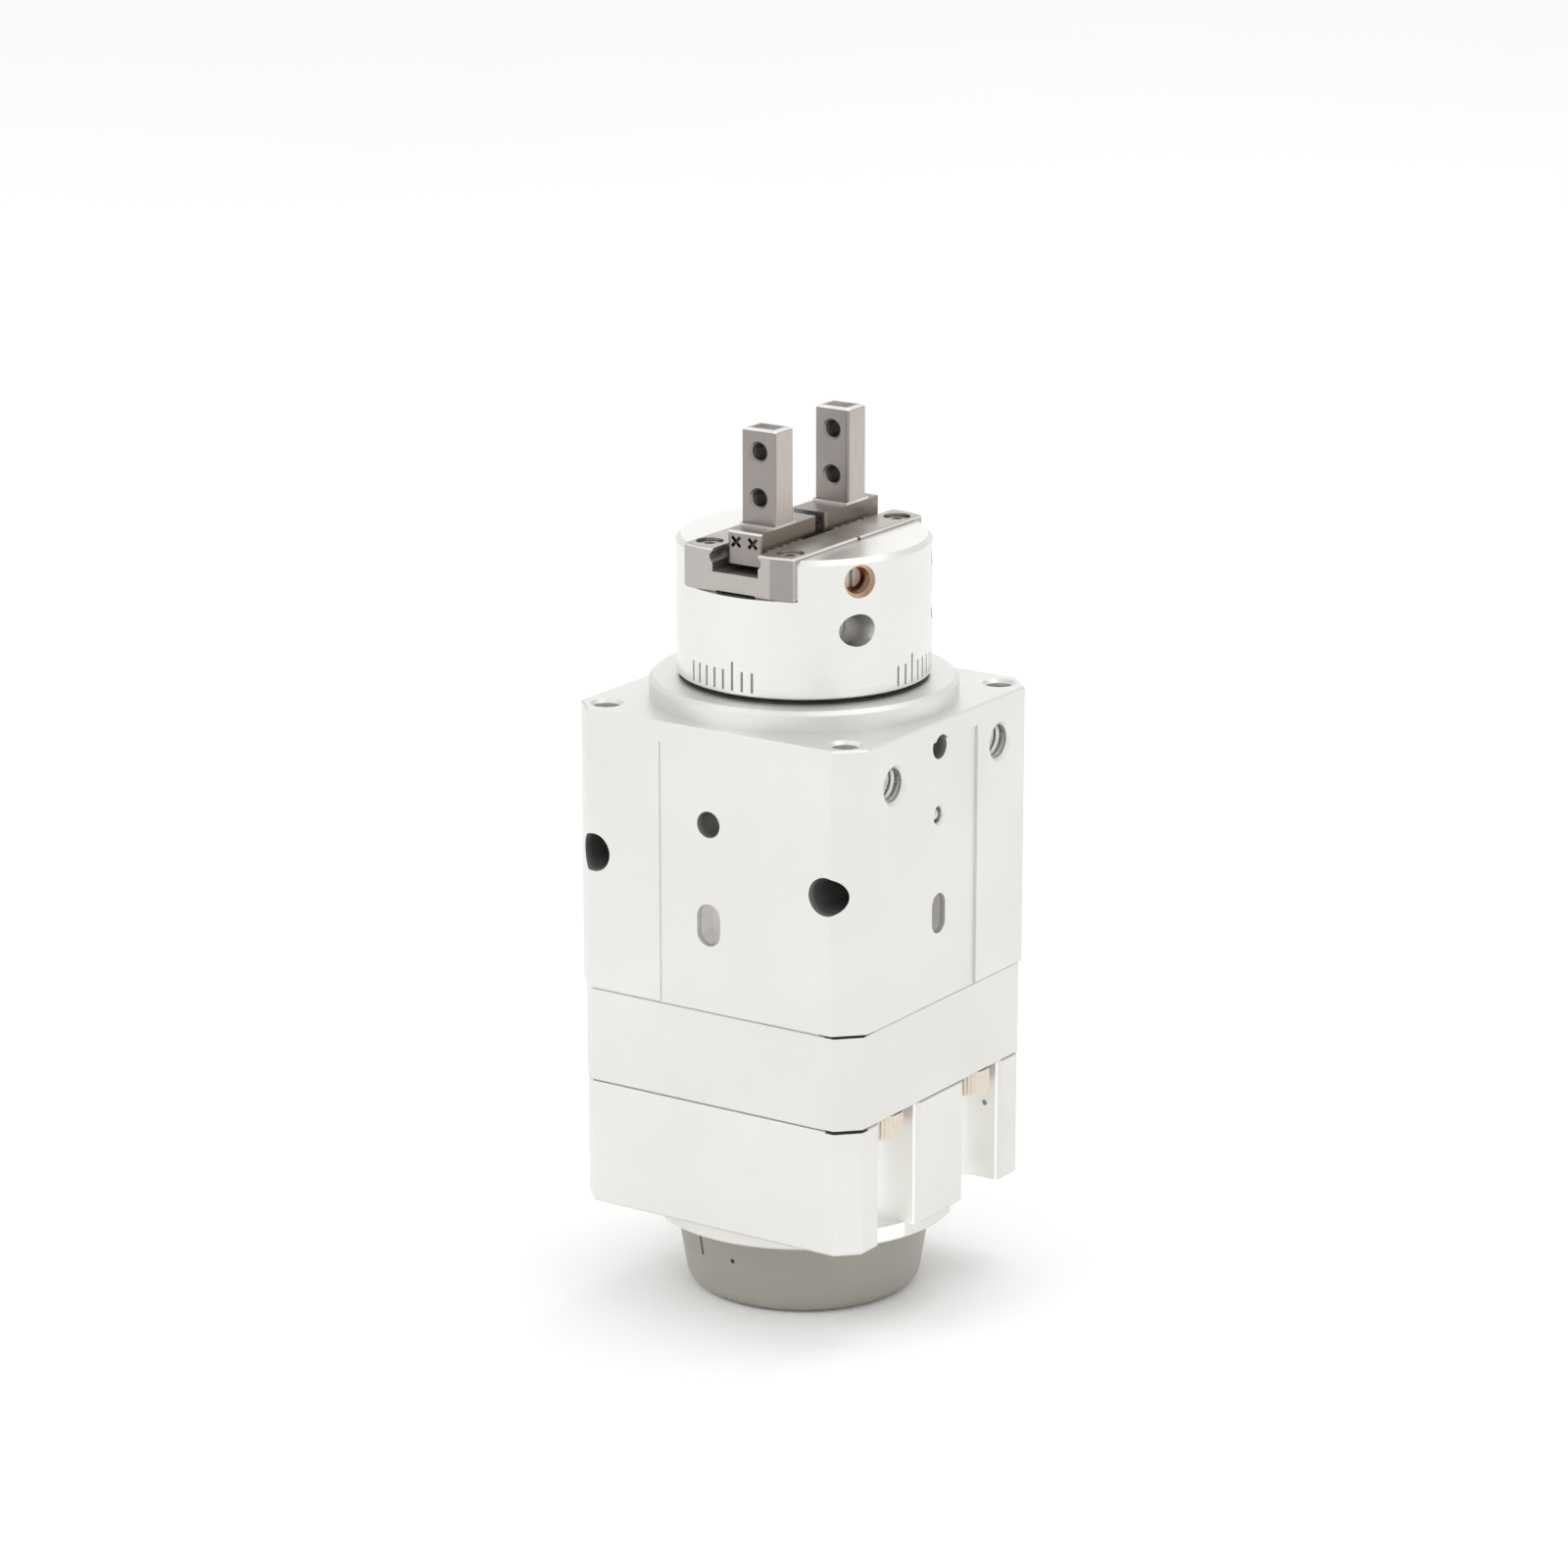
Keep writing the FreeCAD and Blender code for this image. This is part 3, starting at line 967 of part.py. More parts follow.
def make_finger(label, side):
    """A finger with its foot, made on the -Y side and turned about Z for the other one."""
    outer = "-(jaw_half + finger_thick)"
    body = new_body("FingerBlank")
    sketch = new_sketch(body, "YZ_Plane", "-finger_half")
    step = "foot_top + step_height"
    outline(sketch, [("-foot_outer", "foot_base"), ("-foot_inner", "foot_base"), ("-foot_inner", "foot_top"),
                     ("-jaw_half + step_reach", "foot_top"), ("-jaw_half + step_reach", step),
                     ("-jaw_half", step), ("-jaw_half", "finger_top"), (outer, "finger_top"),
                     (outer, step), (f"{outer} - step_reach", step),
                     (f"{outer} - step_reach", "foot_top"), ("-foot_outer", "foot_top")])
    pad(body, sketch, "2 * finger_half", "FingerPad")
    dressed(body, "Fillet", "Radius", "finger_round", is_upright)
    high = value("finger_top")
    dressed(body, "Chamfer", "Size", "edge_break * 1.4", lambda edge: is_level(edge, high))
    middle = f"-pivot_y + arm_up * {SIN_REST}"
    room = "lever_head_r + 0.04"
    tools = [box("-lever_half - 0.1", "lever_half + 0.1", f"{middle} - ({room})", f"{middle} + {room}",
                 "foot_base - 1", "foot_base + 2.9")]
    for sign in SIGNS:
        tools.append(cylinder("groove_r", "foot_outer + 1", f"{sign} * ball_x", "-foot_outer - 1", "ball_z", "Y"))
        for end in ("-foot_outer", "-foot_inner"):
            tools += stake_mark(f"{sign} * stake_x", end, "foot_top - stake_drop")
    for level in ("finger_hole_high", "finger_hole_low"):
        tools.append(cylinder("finger_hole_r", "finger_thick + 2", 0, f"{outer} - 1", level, "Y"))
        mouth = "finger_hole_r + finger_hole_bevel"
        tools.append(cone(mouth, "finger_hole_r", "finger_hole_bevel", 0, outer, level, "Y"))
        tools.append(cone("finger_hole_r", mouth, "finger_hole_bevel", 0, "-jaw_half - finger_hole_bevel",
                          level, "Y"))
    finger = cut(body, tools, "Finger")
    finger.Placement = FreeCAD.Placement(FreeCAD.Vector(), FreeCAD.Rotation(FreeCAD.Vector(0, 0, 1),
                                                                            180 if side > 0 else 0))
    node(finger, label)


def stake_mark(x, y, z):
    """A punched cross that keeps a ball stop in place: two shallow cuts at right angles."""
    cuts = []
    for angle in (45, -45):
        bar = doc.addObject("Part::Box", "StakeBar")
        bar.Length = STAKE_LENGTH
        bar.Width = STAKE_DEPTH
        bar.Height = STAKE_WIDTH
        turn = FreeCAD.Rotation(FreeCAD.Vector(0, 1, 0), angle)
        corner = turn.multVec(FreeCAD.Vector(-STAKE_LENGTH / 2, -STAKE_DEPTH / 2, -STAKE_WIDTH / 2))
        start = FreeCAD.Vector(value(x), value(y), value(z)) + corner
        bar.Placement = FreeCAD.Placement(start, turn)
        cuts.append(bar)
    return cuts


def make_guide_balls(label, side):
    balls = []
    for sign in SIGNS:
        for number in range(GUIDE_BALLS):
            y = side * (FIRST_BALL + BALL_PITCH * number)
            balls.append(sphere("ball_r", f"{sign} * ball_x", f"{y:.3f}", "ball_z"))
    node(fuse(balls, "GuideBalls"), label)


# Values shared between pieces that aren't driving sizes of their own.
STEM_SEAL_LEVELS = (55.6, 61.4, 68.0)
UPPER_SHAFT_SEAL = f"({CHAMBER_ROOF} + web_height / 2)"
LOWER_SHAFT_SEAL = f"({CHAMBER_FLOOR} - 1.6)"
STEM_INLETS = {-1: 58.6, 1: 64.5}
RISER_X = -7.4
BEARING_BALLS = 14
ORIFICE_ANGLE = 31.1
CAP_SLIT_ANGLE = -110.6
CAP_VENT_ANGLE = -91
LONG_ANGLES = (-90, 0)
SCALE_ANGLES = [-115, -110, -105, -100, -95, -90, -85, -80, -10, -5, 0, 5, 10, 15, 20, 25]
GUIDE_BALLS = 5
FIRST_BALL = 4.0
BALL_PITCH = 1.65
STAKE_LENGTH = 1.7
STAKE_WIDTH = 0.42
STAKE_DEPTH = 0.7
SIN_REST = value("finger_travel / 2 / arm_up")
REST_ANGLE = math.degrees(math.asin(SIN_REST))

make_main_body()
make_vane_housing()
make_end_block()
make_end_cap()
make_housing_screws()
make_bearings_and_seals()
make_stopper()
make_vane()
make_magnet_lever()
make_head()
make_head_fittings()
make_guide()
make_piston()
for number, side in ((1, -1), (2, 1)):
    make_lever(f"lever_{number}", side)
    make_finger(f"finger_{number}", side)
    make_guide_balls(f"finger_{number}_balls", side)

doc.recompute()

# ---------------------------------------------------------------- checks and output

for obj in doc.Objects:
    faults = [state for state in obj.State if state in ("Invalid", "Error")]
    if faults:
        raise RuntimeError(f"{obj.Name} ({obj.Label}): {faults}")

os.makedirs("parts", exist_ok=True)
for obj in nodes:
    shape = obj.Shape
    if shape.isNull() or not shape.isValid() or not shape.Solids:
        raise RuntimeError(f"{obj.Label}: no valid solid")
    shape.exportStep(f"parts/{obj.Label}.step")
    print(f"{obj.Label:20s} {len(shape.Solids):3d} solids {shape.Volume:10.2f} mm3")
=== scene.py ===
import json
import math

import bpy
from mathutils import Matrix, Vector


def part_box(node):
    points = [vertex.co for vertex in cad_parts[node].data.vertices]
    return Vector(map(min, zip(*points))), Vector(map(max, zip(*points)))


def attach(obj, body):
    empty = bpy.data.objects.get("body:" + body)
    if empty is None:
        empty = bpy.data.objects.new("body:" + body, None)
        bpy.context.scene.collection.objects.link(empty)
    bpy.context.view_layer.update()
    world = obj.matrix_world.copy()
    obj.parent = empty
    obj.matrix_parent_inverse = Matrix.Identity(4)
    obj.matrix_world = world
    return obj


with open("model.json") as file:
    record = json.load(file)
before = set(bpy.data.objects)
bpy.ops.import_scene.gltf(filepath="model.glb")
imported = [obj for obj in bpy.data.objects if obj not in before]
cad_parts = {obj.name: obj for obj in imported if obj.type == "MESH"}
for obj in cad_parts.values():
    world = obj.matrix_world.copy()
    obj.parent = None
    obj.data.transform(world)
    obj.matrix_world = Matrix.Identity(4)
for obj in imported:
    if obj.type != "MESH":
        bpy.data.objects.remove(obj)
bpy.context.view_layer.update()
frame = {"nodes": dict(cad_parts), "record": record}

MM = 0.001
MICRON = 0.000001
SLOT_OF = {part["node"]: part["material_slot"] for part in frame["record"]["subparts"]}
MOUNTS = {mount["name"]: mount for mount in frame["record"]["mounts"]}

# Places and sizes that the frame states
MAIN_TOP = MOUNTS["top_face"]["pos_m"][2]
MAIN_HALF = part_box("main_body")[1].x
UPPER_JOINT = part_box("main_body")[0].z
LOWER_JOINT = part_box("vane_housing")[0].z
END_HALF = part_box("end_block")[1].x
HEAD_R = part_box("gripper_head")[1].x
HEAD_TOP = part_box("gripper_head")[1].z
GUIDE_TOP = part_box("finger_guide")[1].z
GUIDE_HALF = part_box("finger_guide")[1].x
GUIDE_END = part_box("finger_guide")[1].y
FINGER_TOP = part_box("finger_1")[1].z
FINGER_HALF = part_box("finger_1")[1].x
FOOT_END = -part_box("finger_1")[0].y

# Places and sizes that it doesn't: features inside a node
SKIN = 0.04 * MM                    # a face and the thinnest layer under it

CORNER_SUM = 38.8 * MM              # |x| + |y| on the corner chamfers of the main body
CHAMFER_START = 37 * MM             # x - y where the front corner's chamfer is near
LINE_HALF = 0.10 * MM               # half the height of the painted shade in the gaps between the blocks
# half the height of the painted shadow at the front corner
CORNER_GAP_HALF = 0.22 * MM

SLOT_Z = (48.5 * MM, 54.6 * MM)     # the upright slots of the main body
FRONT_SLOT_X = (-2 * MM, 2 * MM)
FLANK_SLOT_Y = (-3.3 * MM, 0.3 * MM)
SLOT_FLOOR = (17 * MM, 20 * MM)
CHANNEL_FLOOR = 13.4 * MM           # the switch channels of the end block
CHANNEL_Y = (5.3 * MM, 14.0 * MM)

GUIDE_FLAT = 5 * MM                 # half the middle flat of the guide's ends
GUIDE_DROP = 0.7 * MM               # how far the ends slope back from it to the guide's sides
GUIDE_SLOPE = GUIDE_DROP / (GUIDE_HALF - GUIDE_FLAT)
GUIDE_EDGE_WIDE = 0.18 * MM         # the painted highlight along the edges of the guide's top
GUIDE_EDGE_HIGH = 0.25 * MM

FINGER_Y = 8 * MM                   # a finger's middle plane
FINGER_THICK_HALF = 2 * MM
FINGER_FOOT = 100 * MM              # a level between the foot and the finger's threads
FINGER_END_HIGH = 0.25 * MM         # how far down the painted highlight on a finger's tip goes
FOOT_TOP = 99 * MM
STEP_TOP = FOOT_TOP + 0.35 * MM     # the step round a finger's root
FOOT_EDGE_WIDE = 0.22 * MM          # the painted highlight along the outer edge of a foot's top
FOOT_EDGE_HIGH = 0.28 * MM
STAKE_HALF = 2 * MM                 # half the width of the field of crosses on a foot's end
STAKE_DROP = 0.3 * MM               # how far under the foot's top the field starts
STAKE_DEPTH = (0.06 * MM, 0.6 * MM)


# ---------------------------------------------------------------- node graphs

class Graph:
    """A material's node tree with short names for what the looks below use."""

    def __init__(self, name):
        self.material = bpy.data.materials.new(name)
        self.material.use_nodes = True
        self.tree = self.material.node_tree
        self.tree.nodes.clear()
        self.shader = self.tree.nodes.new("ShaderNodeBsdfPrincipled")
        output = self.tree.nodes.new("ShaderNodeOutputMaterial")
        self.link(self.shader.outputs["BSDF"], output.inputs["Surface"])
        self.place = self.tree.nodes.new("ShaderNodeTexCoord").outputs["Object"]

    def link(self, source, target):
        self.tree.links.new(source, target)

    def fixed(self, **values):
        """Constants straight on the shader's own sockets."""
        for name, number in values.items():
            self.shader.inputs[name.replace("_", " ")].default_value = number

    def math(self, operation, first, second=0.0):
        node = self.tree.nodes.new("ShaderNodeMath")
        node.operation = operation
        for socket, item in zip(node.inputs, (first, second)):
            if isinstance(item, (int, float)):
                socket.default_value = item
            else:
                self.link(item, socket)
        return node.outputs[0]

    def stretched(self, x, y, z):
        """Object coordinates scaled on each axis, for grain that runs one way."""
        node = self.tree.nodes.new("ShaderNodeMapping")
        node.inputs["Scale"].default_value = (x, y, z)
        self.link(self.place, node.inputs["Vector"])
        return node.outputs["Vector"]

    def noise(self, scale, detail=2.0, rough=0.5, vector=None, distortion=0.0):
        node = self.tree.nodes.new("ShaderNodeTexNoise")
        node.inputs["Scale"].default_value = scale
        node.inputs["Detail"].default_value = detail
        node.inputs["Roughness"].default_value = rough
        node.inputs["Distortion"].default_value = distortion
        self.link(self.place if vector is None else vector, node.inputs["Vector"])
        return node.outputs["Fac"]

    def rings(self, scale, detail=3.0):
        """Noise that changes along the turning axis and along the radius only: lathe marks."""
        x, y, z = self.axes()
        node = self.tree.nodes.new("ShaderNodeTexNoise")
        node.noise_dimensions = "1D"
        node.inputs["Scale"].default_value = scale
        node.inputs["Detail"].default_value = detail
        self.link(self.math("ADD", self.from_axis(), z), node.inputs["W"])
        return node.outputs["Fac"]

    def ramp(self, source, stops):
        node = self.tree.nodes.new("ShaderNodeValToRGB")
        ramp = node.color_ramp
        while len(ramp.elements) < len(stops):
            ramp.elements.new(0.5)
        for element, (spot, colour) in zip(ramp.elements, stops):
            element.position = spot
            element.color = (*colour, 1.0)
        self.link(source, node.inputs["Fac"])
        return node.outputs["Color"]

    def span(self, source, low, high):
        """Noise stretched over a range of values."""
        node = self.tree.nodes.new("ShaderNodeMapRange")
        node.inputs["From Min"].default_value = 0.25
        node.inputs["From Max"].default_value = 0.75
        node.inputs["To Min"].default_value = low
        node.inputs["To Max"].default_value = high
        self.link(source, node.inputs["Value"])
        return node.outputs["Result"]

    def bump(self, source, distance, strength=1.0, below=None):
        node = self.tree.nodes.new("ShaderNodeBump")
        node.inputs["Strength"].default_value = strength
        node.inputs["Distance"].default_value = distance
        self.link(source, node.inputs["Height"])
        if below is not None:
            self.link(below, node.inputs["Normal"])
        return node.outputs["Normal"]

    def colour(self, source):
        self.link(source, self.shader.inputs["Base Color"])

    def roughness(self, source):
        self.link(source, self.shader.inputs["Roughness"])

    def normal(self, source):
        self.link(source, self.shader.inputs["Normal"])

    def axes(self):
        """The three object coordinates, in metres of the row frame."""
        parts = self.tree.nodes.new("ShaderNodeSeparateXYZ")
        self.link(self.place, parts.inputs[0])
        return parts.outputs["X"], parts.outputs["Y"], parts.outputs["Z"]

    def from_axis(self):
        """The distance from the turning axis."""
        x, y, z = self.axes()
        squares = self.math("ADD", self.math("POWER", x, 2.0), self.math("POWER", y, 2.0))
        return self.math("SQRT", squares)

    def fading(self, source, start, end):
        """1 up to the start and 0 beyond the end."""
        node = self.tree.nodes.new("ShaderNodeMapRange")
        node.inputs["From Min"].default_value = start
        node.inputs["From Max"].default_value = end
        node.inputs["To Min"].default_value = 1.0
        node.inputs["To Max"].default_value = 0.0
        self.link(source, node.inputs["Value"])
        return node.outputs["Result"]

    def inside(self, source, low, high):
        """1 between the two values and 0 outside them."""
        above = self.math("GREATER_THAN", source, low)
        return self.math("MULTIPLY", above, self.math("LESS_THAN", source, high))

    def replaced(self, source, keep, other):
        """The source colour where keep is 1, and the other one where it is 0."""
        node = self.tree.nodes.new("ShaderNodeMix")
        node.data_type = "RGBA"
        sockets = {socket.identifier: socket for socket in node.inputs}
        sockets["A_Color"].default_value = (*other, 1.0)
        self.link(keep, sockets["Factor_Float"])
        self.link(source, sockets["B_Color"])
        return next(socket for socket in node.outputs if socket.identifier == "Result_Color")


def shade(colour, factor):
    """A colour made lighter or darker, never past white."""
    return tuple(min(1.0, part * factor) for part in colour)


# ---------------------------------------------------------------- masks
#
# A mask is 1 where the node's own finish shows and 0 where the feature's colour replaces it. Most of
# these colours are painted shade or painted light, not the metal's own colour.

# Painted shade inside the main body's drilled bores
BORE_SHADE = (0.42, 0.41, 0.40)
# Painted shade inside the threaded holes through the fingers
FINGER_BORE_SHADE = (0.12, 0.108, 0.100)
# Painted shade inside the head's bores
HEAD_BORE_SHADE = (0.52, 0.51, 0.49)
# Painted shade in the gaps between the blocks
UPPER_GAP_SHADE = (0.60, 0.60, 0.575)
LOWER_GAP_SHADE = (0.40, 0.40, 0.38)
# Painted shadow, near black, at the front corner's joints
CORNER_GAP_SHADE = (0.07, 0.07, 0.065)
# Painted light in the main body's upright slots
SLOT_LIGHT = (0.87, 0.86, 0.84)
# Painted light in the end block's switch channels
CHANNEL_LIGHT = (0.97, 0.965, 0.94)
# Painted shade on a finger's broad faces
FINGER_FACE_SHADE = (0.315, 0.287, 0.272)
# Painted highlight on a finger's top
FINGER_TIP_LIGHT = (0.88, 0.84, 0.81)
# Painted shade on the long sides of a finger's foot
FOOT_SIDE_SHADE = (0.265, 0.223, 0.190)
# Painted shade in the punched crosses
STAKE_SHADE = (0.05, 0.045, 0.04)
GUIDE_FACE = (0.460, 0.430, 0.390)
# Painted shade on two of the guide's end facets
GUIDE_FACET_SHADE = (0.335, 0.315, 0.298)
# Painted highlight along the top edges of the guide and the feet
EDGE_HIGHLIGHT = (0.78, 0.755, 0.73)


def body_bore_shade(g):
    """0 where shade is painted in the main body's drilled bores, darker deeper in; 1 on its faces.
    """
    x, y, z = g.axes()
    across = g.math("ABSOLUTE", x)
    deep = g.math("ABSOLUTE", y)
    side = g.math("SUBTRACT", MAIN_HALF, g.math("MAXIMUM", across, deep))
    corner = g.math("SUBTRACT", CORNER_SUM, g.math("ADD", across, deep))
    depth = g.math("MINIMUM", g.math("MINIMUM", side, corner), g.math("SUBTRACT", MAIN_TOP, z))
    return g.fading(depth, 0.4 * MM, 1.3 * MM)


def body_slot_light(g):
    """0 in the two upright slots, where light is painted on their floors and walls in place of the
    bores' painted shade.
    """
    x, y, z = g.axes()
    front_floor = g.inside(g.math("MULTIPLY", y, -1.0), *SLOT_FLOOR)
    front = g.math("MULTIPLY", g.inside(x, *FRONT_SLOT_X), front_floor)
    flank = g.math("MULTIPLY", g.inside(y, *FLANK_SLOT_Y), g.inside(x, *SLOT_FLOOR))
    slots = g.math("MULTIPLY", g.inside(z, *SLOT_Z), g.math("MAXIMUM", front, flank))
    return g.math("SUBTRACT", 1.0, slots)


def off_level(g, level, half):
    """0 within a band round a level."""
    x, y, z = g.axes()
    return g.math("GREATER_THAN", g.math("ABSOLUTE", g.math("SUBTRACT", z, level)), half)


def upper_gap_shade(g):
    """0 where shade is painted in the fine gap between the main body and the vane housing."""
    return off_level(g, UPPER_JOINT, LINE_HALF)


def lower_gap_shade(g):
    """0 where shade is painted, darker, in the gap between the vane housing and the end block."""
    return off_level(g, LOWER_JOINT, LINE_HALF)


def front_corner_gap_shade(g):
    """0 where painted shadow, near black and wider than along the gaps elsewhere, marks the gaps
    between the blocks at the front corner's chamfer.
    """
    x, y, z = g.axes()
    elsewhere = g.math("LESS_THAN", g.math("SUBTRACT", x, y), CHAMFER_START)
    off_joints = g.math("MULTIPLY", off_level(g, UPPER_JOINT, CORNER_GAP_HALF),
                        off_level(g, LOWER_JOINT, CORNER_GAP_HALF))
    return g.math("MAXIMUM", elsewhere, off_joints)


def switch_channel_light(g):
    """0 on the walls of the four switch channels, where light is painted."""
    x, y, z = g.axes()
    across = g.inside(g.math("ABSOLUTE", x), CHANNEL_FLOOR, END_HALF - 0.2 * MM)
    along = g.inside(g.math("ABSOLUTE", y), *CHANNEL_Y)
    return g.math("SUBTRACT", 1.0, g.math("MULTIPLY", across, along))


def head_bore_shade(g):
    """0 where shade is painted in the bores round the head and in its top, 1 on its faces."""
    x, y, z = g.axes()
    depth = g.math("MINIMUM", g.math("SUBTRACT", HEAD_R, g.from_axis()),
                   g.math("SUBTRACT", HEAD_TOP, z))
    return g.fading(depth, 0.35 * MM, 1.6 * MM)


def finger_bore_shade(g):
    """0 where shade is painted half way into the threads through a finger, 1 on the rest of it."""
    x, y, z = g.axes()
    off_middle = g.math("ABSOLUTE", g.math("SUBTRACT", g.math("ABSOLUTE", y), FINGER_Y))
    depth = g.math("MINIMUM", g.math("SUBTRACT", FINGER_THICK_HALF, off_middle),
                   g.math("SUBTRACT", FINGER_HALF, g.math("ABSOLUTE", x)))
    foot = g.math("LESS_THAN", z, FINGER_FOOT)
    return g.math("MAXIMUM", foot, g.fading(depth, 0.3 * MM, 1.0 * MM))


def finger_face_shade(g):
    """0 on a finger's broad faces, where shade is painted, 1 on its narrow sides, which keep the
    plain, lighter finish.
    """
    x, y, z = g.axes()
    return g.math("GREATER_THAN", g.math("ABSOLUTE", x), FINGER_HALF - SKIN)


def finger_tip_highlight(g):
    """0 on a finger's top, where a painted highlight makes it the brightest of its faces."""
    x, y, z = g.axes()
    return g.math("LESS_THAN", z, FINGER_TOP - FINGER_END_HIGH)


def foot_side_shade(g):
    """0 on the long sides of a finger's foot, where shade is painted."""
    x, y, z = g.axes()
    upper = g.math("GREATER_THAN", z, FOOT_TOP)
    return g.math("MAXIMUM", upper, g.math("LESS_THAN", g.math("ABSOLUTE", x), FINGER_HALF - SKIN))


def foot_edge_highlights(g):
    """0 where highlights are painted along the outer top edge of a foot and on the step under the
    finger.
    """
    x, y, z = g.axes()
    along = g.math("ABSOLUTE", y)
    rim = g.math("MULTIPLY", g.inside(z, FOOT_TOP - FOOT_EDGE_HIGH, FOOT_TOP + SKIN / 4),
                 g.math("GREATER_THAN", along, FOOT_END - FOOT_EDGE_WIDE))
    step = g.inside(z, FOOT_TOP + SKIN / 2, STEP_TOP)
    return g.math("SUBTRACT", 1.0, g.math("MAXIMUM", rim, step))


def stake_mark_shade(g):
    """0 where shade, near black, is painted in the crosses punched into a foot's outer end."""
    x, y, z = g.axes()
    depth = g.inside(g.math("SUBTRACT", FOOT_END, g.math("ABSOLUTE", y)), *STAKE_DEPTH)
    field = g.math("MULTIPLY", g.math("LESS_THAN", g.math("ABSOLUTE", x), STAKE_HALF),
                   g.math("LESS_THAN", z, FOOT_TOP - STAKE_DROP))
    return g.math("SUBTRACT", 1.0, g.math("MULTIPLY", depth, field))


def from_guide_edge(g, across, along):
    """The distance in from the guide's outline, whose ends slope beyond their middle flat."""
    past_flat = g.math("MAXIMUM", g.math("SUBTRACT", across, GUIDE_FLAT), 0.0)
    slope = g.math("MULTIPLY", past_flat, GUIDE_SLOPE)
    end = g.math("SUBTRACT", g.math("SUBTRACT", GUIDE_END, slope), along)
    return g.math("MINIMUM", g.math("SUBTRACT", GUIDE_HALF, across), end)


def guide_edge_highlights(g):
    """0 along the outer edges of the guide's top, which are broken, where highlights are painted."""
    x, y, z = g.axes()
    inward = from_guide_edge(g, g.math("ABSOLUTE", x), g.math("ABSOLUTE", y))
    rim = g.math("MULTIPLY", g.math("LESS_THAN", inward, GUIDE_EDGE_WIDE),
                 g.math("GREATER_THAN", z, GUIDE_TOP - GUIDE_EDGE_HIGH))
    return g.math("SUBTRACT", 1.0, rim)


def guide_facet_shade(g):
    """0 on two opposite sloping facets of the guide's ends, where shade is painted."""
    x, y, z = g.axes()
    facet = g.math("MULTIPLY", g.math("GREATER_THAN", g.math("ABSOLUTE", x), GUIDE_FLAT),
                   g.math("GREATER_THAN", g.math("ABSOLUTE", y), GUIDE_END - GUIDE_DROP - SKIN / 2))
    side = g.math("LESS_THAN", g.math("MULTIPLY", x, y), 0.0)
    return g.math("SUBTRACT", 1.0, g.math("MULTIPLY", facet, side))


def guide_walls(g):
    """0 on the guide's top face, which is a little browner than its walls."""
    x, y, z = g.axes()
    return g.math("LESS_THAN", z, GUIDE_TOP - 0.1 * MM)


def masked(g, finish, masks):
    """The finish with each mask's own colour where that mask is 0."""
    for mask, colour in masks:
        finish = g.replaced(finish, mask(g), colour)
    return finish


# ---------------------------------------------------------------- looks

def anodised(name, colour, low=0.34, high=0.44, metal=0.82, masks=()):
    """Satin clear-anodised aluminium: even silver with a fine blasted grain."""
    g = Graph(name)
    cloud = g.noise(45, 3)
    finish = g.ramp(cloud, [(0.3, shade(colour, 0.965)), (0.7, shade(colour, 1.02))])
    g.colour(masked(g, finish, masks))
    g.roughness(g.span(g.noise(160, 4, 0.6), low, high))
    grain = g.bump(g.noise(9000, 3, 0.65), 12 * MICRON, 0.7)
    g.normal(g.bump(g.noise(1400, 2), 10 * MICRON, 0.35, grain))
    g.fixed(Metallic=metal, IOR=1.5)
    return g.material


def turned_aluminium(name, colour, masks=()):
    """Lathe-turned and clear-anodised: rings too fine to count, and a brighter sheen."""
    g = Graph(name)
    lines = g.rings(5200, 4)
    finish = g.ramp(lines, [(0.3, shade(colour, 0.96)), (0.7, shade(colour, 1.01))])
    g.colour(masked(g, finish, masks))
    g.roughness(g.span(g.noise(220, 3), 0.25, 0.34))
    fine = g.bump(lines, 6 * MICRON, 0.3)
    g.normal(g.bump(g.noise(7000, 2), 6 * MICRON, 0.35, fine))
    g.fixed(Metallic=0.88, IOR=1.5)
    return g.material


def ground_steel(name, colour, grain, masks=()):
    """Satin stainless steel with a ground grain; grain scales the coordinates across it."""
    g = Graph(name)
    streaks = g.noise(1.0, 5, 0.62, g.stretched(*grain))
    finish = g.ramp(streaks, [(0.25, shade(colour, 0.86)), (0.52, colour),
                              (0.8, shade(colour, 1.12))])
    g.colour(masked(g, finish, masks))
    g.roughness(g.span(g.noise(300, 3), 0.3, 0.42))
    lines = g.bump(streaks, 14 * MICRON, 0.55)
    g.normal(g.bump(g.noise(6000, 2), 6 * MICRON, 0.4, lines))
    g.fixed(Metallic=0.95, Anisotropic=0.35)
    return g.material


def moulded_resin(name, colour, rough):
    """Matt moulded resin with a spark-eroded texture and faint flow marks."""
    g = Graph(name)
    flow = g.noise(30, 4, 0.55, g.stretched(1.0, 1.0, 3.0), 0.6)
    g.colour(g.ramp(flow, [(0.3, shade(colour, 0.93)), (0.7, shade(colour, 1.06))]))
    g.roughness(g.span(g.noise(500, 3), rough - 0.06, rough + 0.08))
    cells = g.tree.nodes.new("ShaderNodeTexVoronoi")
    cells.inputs["Scale"].default_value = 4200
    g.link(g.place, cells.inputs["Vector"])
    texture = g.bump(cells.outputs["Distance"], 20 * MICRON, 0.35)
    g.normal(g.bump(g.noise(2600, 3), 14 * MICRON, 0.5, texture))
    g.fixed(Specular_IOR_Level=0.75)
    return g.material


